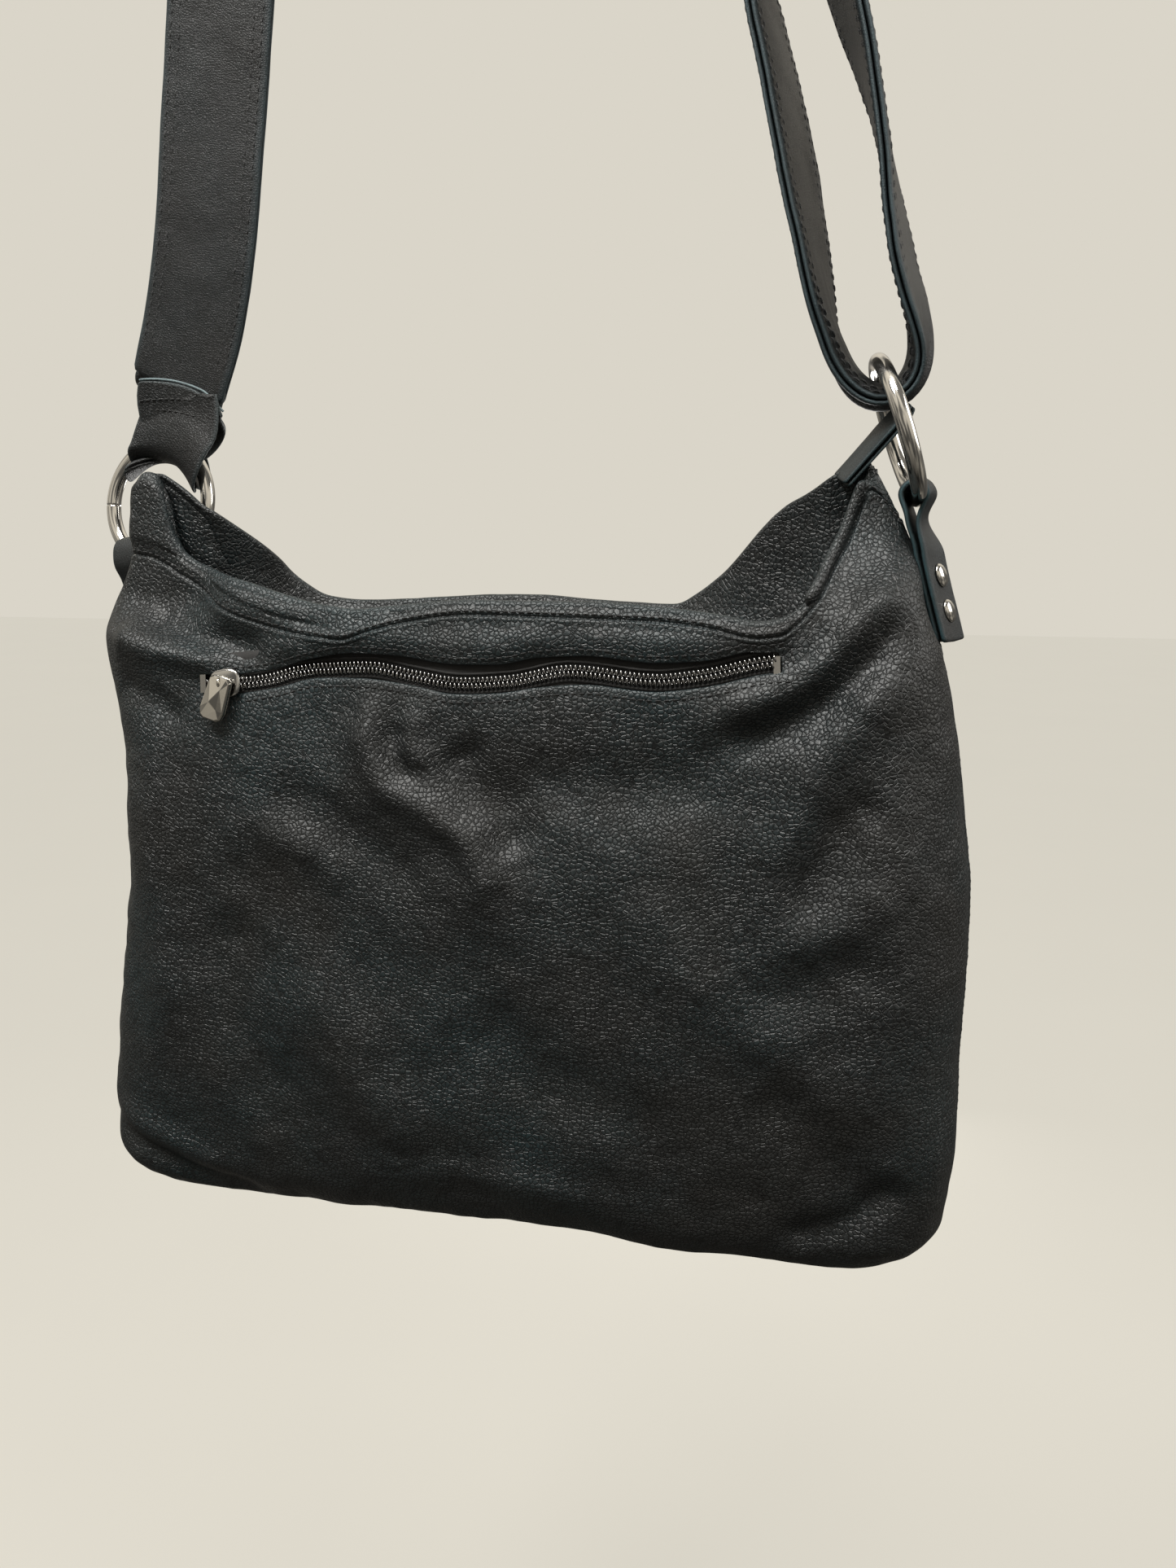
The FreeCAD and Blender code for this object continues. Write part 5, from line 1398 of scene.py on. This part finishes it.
for i in range(NF):
    # the flap's free end is cut almost level
    wq_ = S((i / (NF - 1) - 0.76) / 0.2)
    hu = np.clip(((RFo[i] - fc_[i]) @ V3(1, 0, 0)) / 20.0, -1.1, 1.1)
    RFo[i][:, 2] += wq_ * (2.6 * hu - 0.4 - 3.2 * S((hu - 0.5) / 0.45))
wfo[-1, :] = 0.35
flap = mesh("strap_ring_fold", RFo.reshape(-1, 3), ffo, [M_FLAP], body="strap", slot="strap_leather", attr=wfo.ravel())
sub = flap.modifiers.new("sub", "SUBSURF")
sub.levels = sub.render_levels = 1
# pale raw top edge of the flap
mrow = RFo.shape[1]
edge_pts = RFo[-1, :21].copy()
edge_c = 0.5 * (RFo[-1, :21] + RFo[-1, 22:43][::-1])
v, f = tube(smooth_path(edge_c, 1.0), 0.5, 8)
rb = Bag()
rb.add(v, f, 0.8)
rb.make("flap_raw_edge", [M_FLAP], body="strap", slot="strap_leather")
# cross stitching under the raw edge
outer_first = (RFo[-1, 10] - edge_c[10]) @ V3(0, -1, 0) > 0
for back_rows in (3, 6):
    rowp = RFo[-1 - back_rows, 1:20] if outer_first else RFo[-1 - back_rows, 23:42]
    nrow_ = np.repeat(unit(V3(0, -1, 0.1))[None], len(rowp), 0)
    stitch_row(ss, smooth_path(rowp, 1.2), np.repeat(nrow_[:1], len(smooth_path(rowp, 1.2)), 0), 3.0, 2.1, 0.42, lift=0.1)
ss.make("strap_stitching", [M_THREAD], body="strap", slot="strap_leather")

# sleeve of the strap end round the buckle's middle bar, and the buckle
a_ = np.linspace(math.radians(200), math.radians(-20), 24)
slv = np.array([BC + UP * (3.4 * math.sin(t)) + OUT_ * (3.4 * math.cos(t)) for t in np.linspace(-math.pi * 0.5, math.pi * 0.5, 20)])
svt = np.gradient(slv, axis=0)
svt /= np.linalg.norm(svt, axis=1)[:, None]
svn = np.array([unit(p - BC) for p in slv])
RS_, fs_, ws_, _ = sweep_band(slv, svt, svn, np.full(len(slv), 40.0), -0.9, 0.9, seed=150, wob=0.05)
mesh("strap_end_sleeve", RS_.reshape(-1, 3), fs_, [M_STRAP], body="strap", slot="strap_leather", attr=ws_.ravel())
hw_, hh_ = 56 / 2 - 1.5, 46 / 2 - 1.5
cr = 4.0
loop = []
for cx_, cz_, s_ in ((hw_ - cr, hh_ - cr, 0), (-hw_ + cr, hh_ - cr, 90), (-hw_ + cr, -hh_ + cr, 180), (hw_ - cr, -hh_ + cr, 270)):
    for k in range(9):
        t = math.radians(s_ + 90 * k / 8)
        loop.append((cx_ + cr * math.cos(t), cz_ + cr * math.sin(t)))
lp3 = [BC + V3(0, 1, 0) * a + UP * b for a, b in loop]
bkb = Bag()
v, f = tube(smooth_path(lp3, 1.5, closed=True), 1.5, 14, closed=True)
bkb.add(v, f)
v, f = tube(np.array([BC + V3(0, 1, 0) * t for t in np.linspace(-hw_, hw_, 12)]), 1.45, 14)
bkb.add(v, f)
bo = bkb.make("slide_buckle_frame", [M_RING], body="strap", slot="ring_metal")
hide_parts("strap_slide_buckle")

# ------------------------------------------------------------------ side tabs, end tab, rivets


def at_sec(z, col):
    return float(pchip(SECTIONS[:, 0], SECTIONS[:, col], z))


R_LOW = RC_ - RU * RM
TT_ = 2.0
cxr, czr, lrr = R_LOW[0], R_LOW[2] + 1.6, 5.7
yT = R_LOW[1]
path = [(at_sec(-40, 2) + 1.4, yT, -41), (at_sec(-33, 2) + 1.4, yT, -33), (at_sec(-10, 2) + 1.5, yT, -10), (cxr - 2.3, yT, R_LOW[2] - 6.2)]
path += [(cxr + lrr * math.cos(math.radians(180 - 22.5 * i)), yT, czr + lrr * math.sin(math.radians(180 - 22.5 * i))) for i in range(9)]
path += [(cxr + 2.3, yT, R_LOW[2] - 6.2), (at_sec(-10, 2) + 4.3, yT, -10), (at_sec(-33, 2) + 4.0, yT, -33), (at_sec(-40, 2) + 4.0, yT, -41)]
tp_ = smooth_path(path, 1.6)
tt_ = np.gradient(tp_, axis=0)
tt_ /= np.linalg.norm(tt_, axis=1)[:, None]
tn_ = np.cross(tt_, V3(0, 1, 0))
wq = np.linspace(0, 1, len(tp_))
tw_ = 20.0 - 2.5 * np.exp(-((wq - 0.5) / 0.12) ** 2)
cupT = 1.2 * np.exp(-((wq - 0.5) / 0.1) ** 2)
Rr, fr_, wr_, _ = sweep_band(tp_, tt_, tn_, tw_, -1.0, 1.0, nu=13, seed=160, wob=0.12, edge_wear=1.0, cup=-cupT)


def turn_tab(P):
    """The tab lies partly round the corner of the bag, so its face looks forward."""
    P = np.array(P, float)
    z = P[..., 2]
    an = np.radians(-(11.0 + 14.0 * S((6 - z) / 16.0)))
    cx_ = np.interp(z, [-45, -33, -10, 2, 8, 25], [at_sec(-45, 2) + 2.7, at_sec(-33, 2) + 2.7, at_sec(-10, 2) + 2.9, cxr, cxr, cxr])
    dx, dy = P[..., 0] - cx_, P[..., 1] - yT
    out = P.copy()
    out[..., 0] = cx_ + dx * np.cos(an) - dy * np.sin(an) + 2.6 * S((4 - z) / 12.0)
    out[..., 1] = yT + dx * np.sin(an) + dy * np.cos(an) - 1.0 * S((4 - z) / 12.0)
    return out


Rr = turn_tab(Rr)
o = mesh("right_tab_leather", Rr.reshape(-1, 3), fr_, [M_TAB], body="bag", slot="body_leather", attr=wr_.ravel())
sub = o.modifiers.new("sub", "SUBSURF"); sub.levels = sub.render_levels = 1
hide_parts("right_side_tab")

lo_dir = unit(LU * -0.905 + LS * -0.425)
L_LOW = LC + lo_dir * RM
lo_dir = unit(V3(-166.6, -3.0, -40.0) - L_LOW)
l_along = LS * 0.905 - LU * 0.425
l_along = unit(l_along - lo_dir * (l_along @ lo_dir))
l_back = np.cross(l_along, lo_dir)
if l_back[1] < 0:
    l_back = -l_back


def lp(b, d):
    return L_LOW + l_back * b + lo_dir * d


lpath = [lp(-1.15, 14.0), lp(-3.0, 9.0), lp(-6.0, 4.0), lp(-6.3, -0.6), lp(-5.4, -4.4), lp(-3.0, -7.0), lp(0, -7.8),
         lp(3.0, -7.0), lp(5.4, -4.4), lp(6.3, -0.6), lp(6.0, 4.0), lp(3.0, 9.0), lp(1.15, 14.0)]
lq = smooth_path(lpath, 1.3)
lt_ = np.gradient(lq, axis=0)
lt_ /= np.linalg.norm(lt_, axis=1)[:, None]
ln_ = []
for t in lt_:
    sd = unit(l_along - t * (t @ l_along))
    ln_.append(np.cross(sd, t))
ln_ = np.array(ln_)
R1, f1, w1, _ = sweep_band(lq, lt_, ln_, np.full(len(lq), 15.0), -1.0, 1.0, nu=11, seed=170, wob=0.1, edge_wear=1.0)
tabL = Bag()
tabL.add(R1.reshape(-1, 3), f1, w1.ravel())
tail = [(lp(0, 13.6), l_along, 15.6), (lp(0, 18.5) + V3(0, -0.3, 0), l_along + V3(0, -0.45, 0), 16.0),
        (V3(at_sec(-36, 1) - 3.4, -3.2, -36.5), V3(0.6, -0.9, 0), 17.5), (V3(at_sec(-41, 1) - 2.8, -4.0, -41), V3(0.1, -1, 0), 20.0),
        (V3(at_sec(-45, 1) - 2.7, -4.0, -46), V3(0, -1, 0), 20.0), (V3(at_sec(-60, 1) - 2.7, -4.0, -60), V3(0, -1, 0), 20.0),
        (V3(at_sec(-72, 1) - 2.7, -4.0, -72), V3(0, -1, 0), 20.0)]
tq = smooth_path([tuple(p) + tuple(unit(sd)) + (wd,) for p, sd, wd in tail], 1.6)
tqt = np.gradient(tq[:, :3], axis=0)
tqt /= np.linalg.norm(tqt, axis=1)[:, None]
tqn = []
for q, t in zip(tq, tqt):
    sd = unit(q[3:6] - t * (t @ q[3:6]))
    tqn.append(np.cross(sd, t))
tqn = np.array(tqn)
for lo_, hi_ in ((0.06, 2.1), (-2.1, -0.06)):
    R1, f1, w1, _ = sweep_band(tq[:, :3], tqt, tqn, tq[:, 6], lo_, hi_, nu=11, seed=180, wob=0.08, edge_wear=1.0)
    tabL.add(R1.reshape(-1, 3), f1, w1.ravel())
o = tabL.make("left_tab_leather", [M_TAB], body="bag", slot="body_leather")
sub = o.modifiers.new("sub", "SUBSURF"); sub.levels = sub.render_levels = 1
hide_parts("left_side_tab")


def rivet_caps(name, zs, sgn, yy, node):
    rb_ = Bag()
    for zz in zs:
        col_ = 2 if sgn > 0 else 1
        slope = (at_sec(zz + 1, col_) - at_sec(zz - 1, col_)) / 2
        t = unit(V3(slope, 0, 1))
        n = V3(t[2], 0, -t[0]) if sgn > 0 else V3(-t[2], 0, t[0])
        base = V3(at_sec(zz, col_), yy, zz) + n * 5.0
        b = np.cross(n, t)
        prof = [(0.01, 1.75), (1.2, 1.72), (2.4, 1.55), (3.4, 1.2), (4.1, 0.72), (4.45, 0.3), (4.5, 0.0), (4.1, -0.15), (1.6, -0.2), (1.55, -9.0), (0.01, -9.0)]
        k = 32
        v = []
        for r, h in prof:
            for j in range(k):
                a = 2 * math.pi * j / k
                v.append(base + n * h + (t * math.cos(a) + b * math.sin(a)) * r)
        v = turn_tab(v) if sgn > 0 else v
        rb_.add(v, grid_faces(len(prof), k, closed_c=True, flip=True))
    o = rb_.make(name, [M_RING], body="bag", slot="ring_metal")
    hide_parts(node)


rivet_caps("right_rivet_caps", (-18.0, -31.0), 1, yT, "right_tab_rivets")
rivet_caps("left_rivet_caps", (-51.0, -64.0), -1, -4.0, "left_tab_rivets")

# zip end tab: leather folded double, open side edges, tip rounded
u_ = unit(V3(153.6 - 135.5, 0, 42.0 - 21.0))
nv = V3(-u_[2], 0, u_[0])
eo = V3(135.5, -6.0, 22.6)
ta_ = math.radians(22.0)
nvr = nv * math.cos(ta_) + V3(0, -math.sin(ta_), 0)
et = Bag()
for sg_ in (1, -1):
    pth = smooth_path([tuple(eo + u_ * s + nvr * (sg_ * h)) for s, h in ((-7, 0.85), (0, 0.85), (10, 0.95), (20, 1.0), (26, 0.95), (28.6, 0.5))], 1.4)
    t_ = np.gradient(pth, axis=0)
    t_ /= np.linalg.norm(t_, axis=1)[:, None]
    q = np.linspace(0, 1, len(pth))
    w_ = 15.0 - 5.0 * S((q - 0.88) / 0.12)
    n2_ = np.array([unit(nvr - tt * (tt @ nvr)) for tt in t_])
    R1, f1, w1, _ = sweep_band(pth, t_, n2_ * sg_, w_, -0.7, 0.8, nu=11, seed=190 + sg_, wob=0.15, edge_wear=0.7)
    et.add(R1.reshape(-1, 3), f1, w1.ravel())
o = et.make("zip_end_tab_leather", [M_TAB], body="bag", slot="body_leather")
sub = o.modifiers.new("sub", "SUBSURF"); sub.levels = sub.render_levels = 1
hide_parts("main_zip_end_tab")

# ------------------------------------------------------------------ stage, lights, camera
me = bpy.data.meshes.new("studio_floor")
fz = -1.42
me.from_pydata([(-9, -9, fz), (9, -9, fz), (9, 9, fz), (-9, 9, fz)], [], [(0, 1, 2, 3)])
floor = bpy.data.objects.new("studio_floor", me)
scene.collection.objects.link(floor)
mf, ntf, bf = node_mat("pale_floor")
nzf = tex_noise(ntf, ntf.nodes.new("ShaderNodeTexCoord").outputs["Object"], 3.0, 3.0)
ntf.links.new(mix_col(ntf, nzf.outputs["Fac"], g((96, 93, 88)), g((104, 101, 96))), bf.inputs["Base Color"])
bf.inputs["Roughness"].default_value = 0.9
bf.inputs["Specular IOR Level"].default_value = 0.1
bf.inputs["Emission Color"].default_value = g((219, 215, 203))
bf.inputs["Emission Strength"].default_value = 0.83
me.materials.append(mf)
floor.visible_diffuse = False
floor.visible_glossy = False

w = bpy.data.worlds.new("studio") if scene.world is None else scene.world
scene.world = w
w.use_nodes = True
bg = w.node_tree.nodes.get("Background")
bg.inputs["Strength"].default_value = 1.0
wtc = w.node_tree.nodes.new("ShaderNodeTexCoord")
wsep = w.node_tree.nodes.new("ShaderNodeSeparateXYZ")
w.node_tree.links.new(wtc.outputs["Generated"], wsep.inputs[0])
whi = math_node(w.node_tree, "ADD", math_node(w.node_tree, "MULTIPLY", wsep.outputs["Z"], 0.45), 0.5)
wno = tex_noise(w.node_tree, wtc.outputs["Generated"], 1.9, 1.0)
wst = ramp(w.node_tree, wno.outputs["Fac"], [(0.42, (0.25, 0.25, 0.25, 1)), (0.58, (1.15, 1.12, 1.06, 1))])
wmu = w.node_tree.nodes.new("ShaderNodeMix")
wmu.data_type = "RGBA"
wmu.blend_type = "MULTIPLY"
wmu.inputs[0].default_value = 1.0
w.node_tree.links.new(wst, wmu.inputs[6])
w.node_tree.links.new(whi, wmu.inputs[7])
wm2 = w.node_tree.nodes.new("ShaderNodeMix")
wm2.data_type = "RGBA"
wm2.blend_type = "MULTIPLY"
wm2.inputs[0].default_value = 1.0
wm2.inputs[7].default_value = (0.92, 0.88, 0.8, 1)
w.node_tree.links.new(wmu.outputs[2], wm2.inputs[6])
w.node_tree.links.new(wm2.outputs[2], bg.inputs["Color"])
bg2 = w.node_tree.nodes.new("ShaderNodeBackground")
bg2.inputs["Color"].default_value = g((218, 213, 201))
bg2.inputs["Strength"].default_value = 1.0
lpn = w.node_tree.nodes.new("ShaderNodeLightPath")
mxs = w.node_tree.nodes.new("ShaderNodeMixShader")
w.node_tree.links.new(lpn.outputs["Is Camera Ray"], mxs.inputs[0])
w.node_tree.links.new(bg.outputs[0], mxs.inputs[1])
w.node_tree.links.new(bg2.outputs[0], mxs.inputs[2])
w.node_tree.links.new(mxs.outputs[0], w.node_tree.nodes["World Output"].inputs[0])


def area(name, loc, target, size, power, col=(1, 1, 1), size_y=None):
    ld = bpy.data.lights.new(name, "AREA")
    ld.energy = power
    ld.color = col
    ld.size = size
    if size_y:
        ld.shape = "RECTANGLE"
        ld.size_y = size_y
    o = bpy.data.objects.new(name, ld)
    scene.collection.objects.link(o)
    o.location = loc
    d = Vector(target) - Vector(loc)
    o.rotation_euler = d.to_track_quat("-Z", "Y").to_euler()
    return o


area("key", (-0.5, -0.85, 0.7), (0.0, 0.0, -0.75), 0.42, 24, (1, 0.99, 0.96))
area("top", (0.25, -0.5, 0.75), (0.05, 0.0, -0.75), 0.45, 16, (1, 0.99, 0.96))
area("rim", (1.4, 0.2, -0.1), (0.1, 0.0, -0.7), 0.8, 7, (1, 0.98, 0.95))
area("back", (-0.1, 1.15, -1.3), (0.0, 0.0, -0.75), 0.7, 8, (1, 0.99, 0.97))

cd_ = bpy.data.cameras.new("cam")
cam = bpy.data.objects.new("cam", cd_)
scene.collection.objects.link(cam)
cd_.sensor_fit = "VERTICAL"
cd_.sensor_height = 36.0
cd_.sensor_width = 36.0 * 1445 / 1926
cd_.lens = 27.05
cd_.clip_start = 0.01
cy_, cp = math.radians(13.0), math.radians(-12.2)
right = Vector((math.cos(cy_), math.sin(cy_), 0))
fwd = Vector((-math.sin(cy_) * math.cos(cp), math.cos(cy_) * math.cos(cp), math.sin(cp)))
upv = right.cross(fwd)
mw = Matrix((right, upv, -fwd)).transposed().to_4x4()
mw.translation = Vector((0.17035, -0.463, -0.63023))
cam.matrix_world = mw
scene.camera = cam
scene.view_settings.view_transform = "Standard"
scene.view_settings.look = "None"
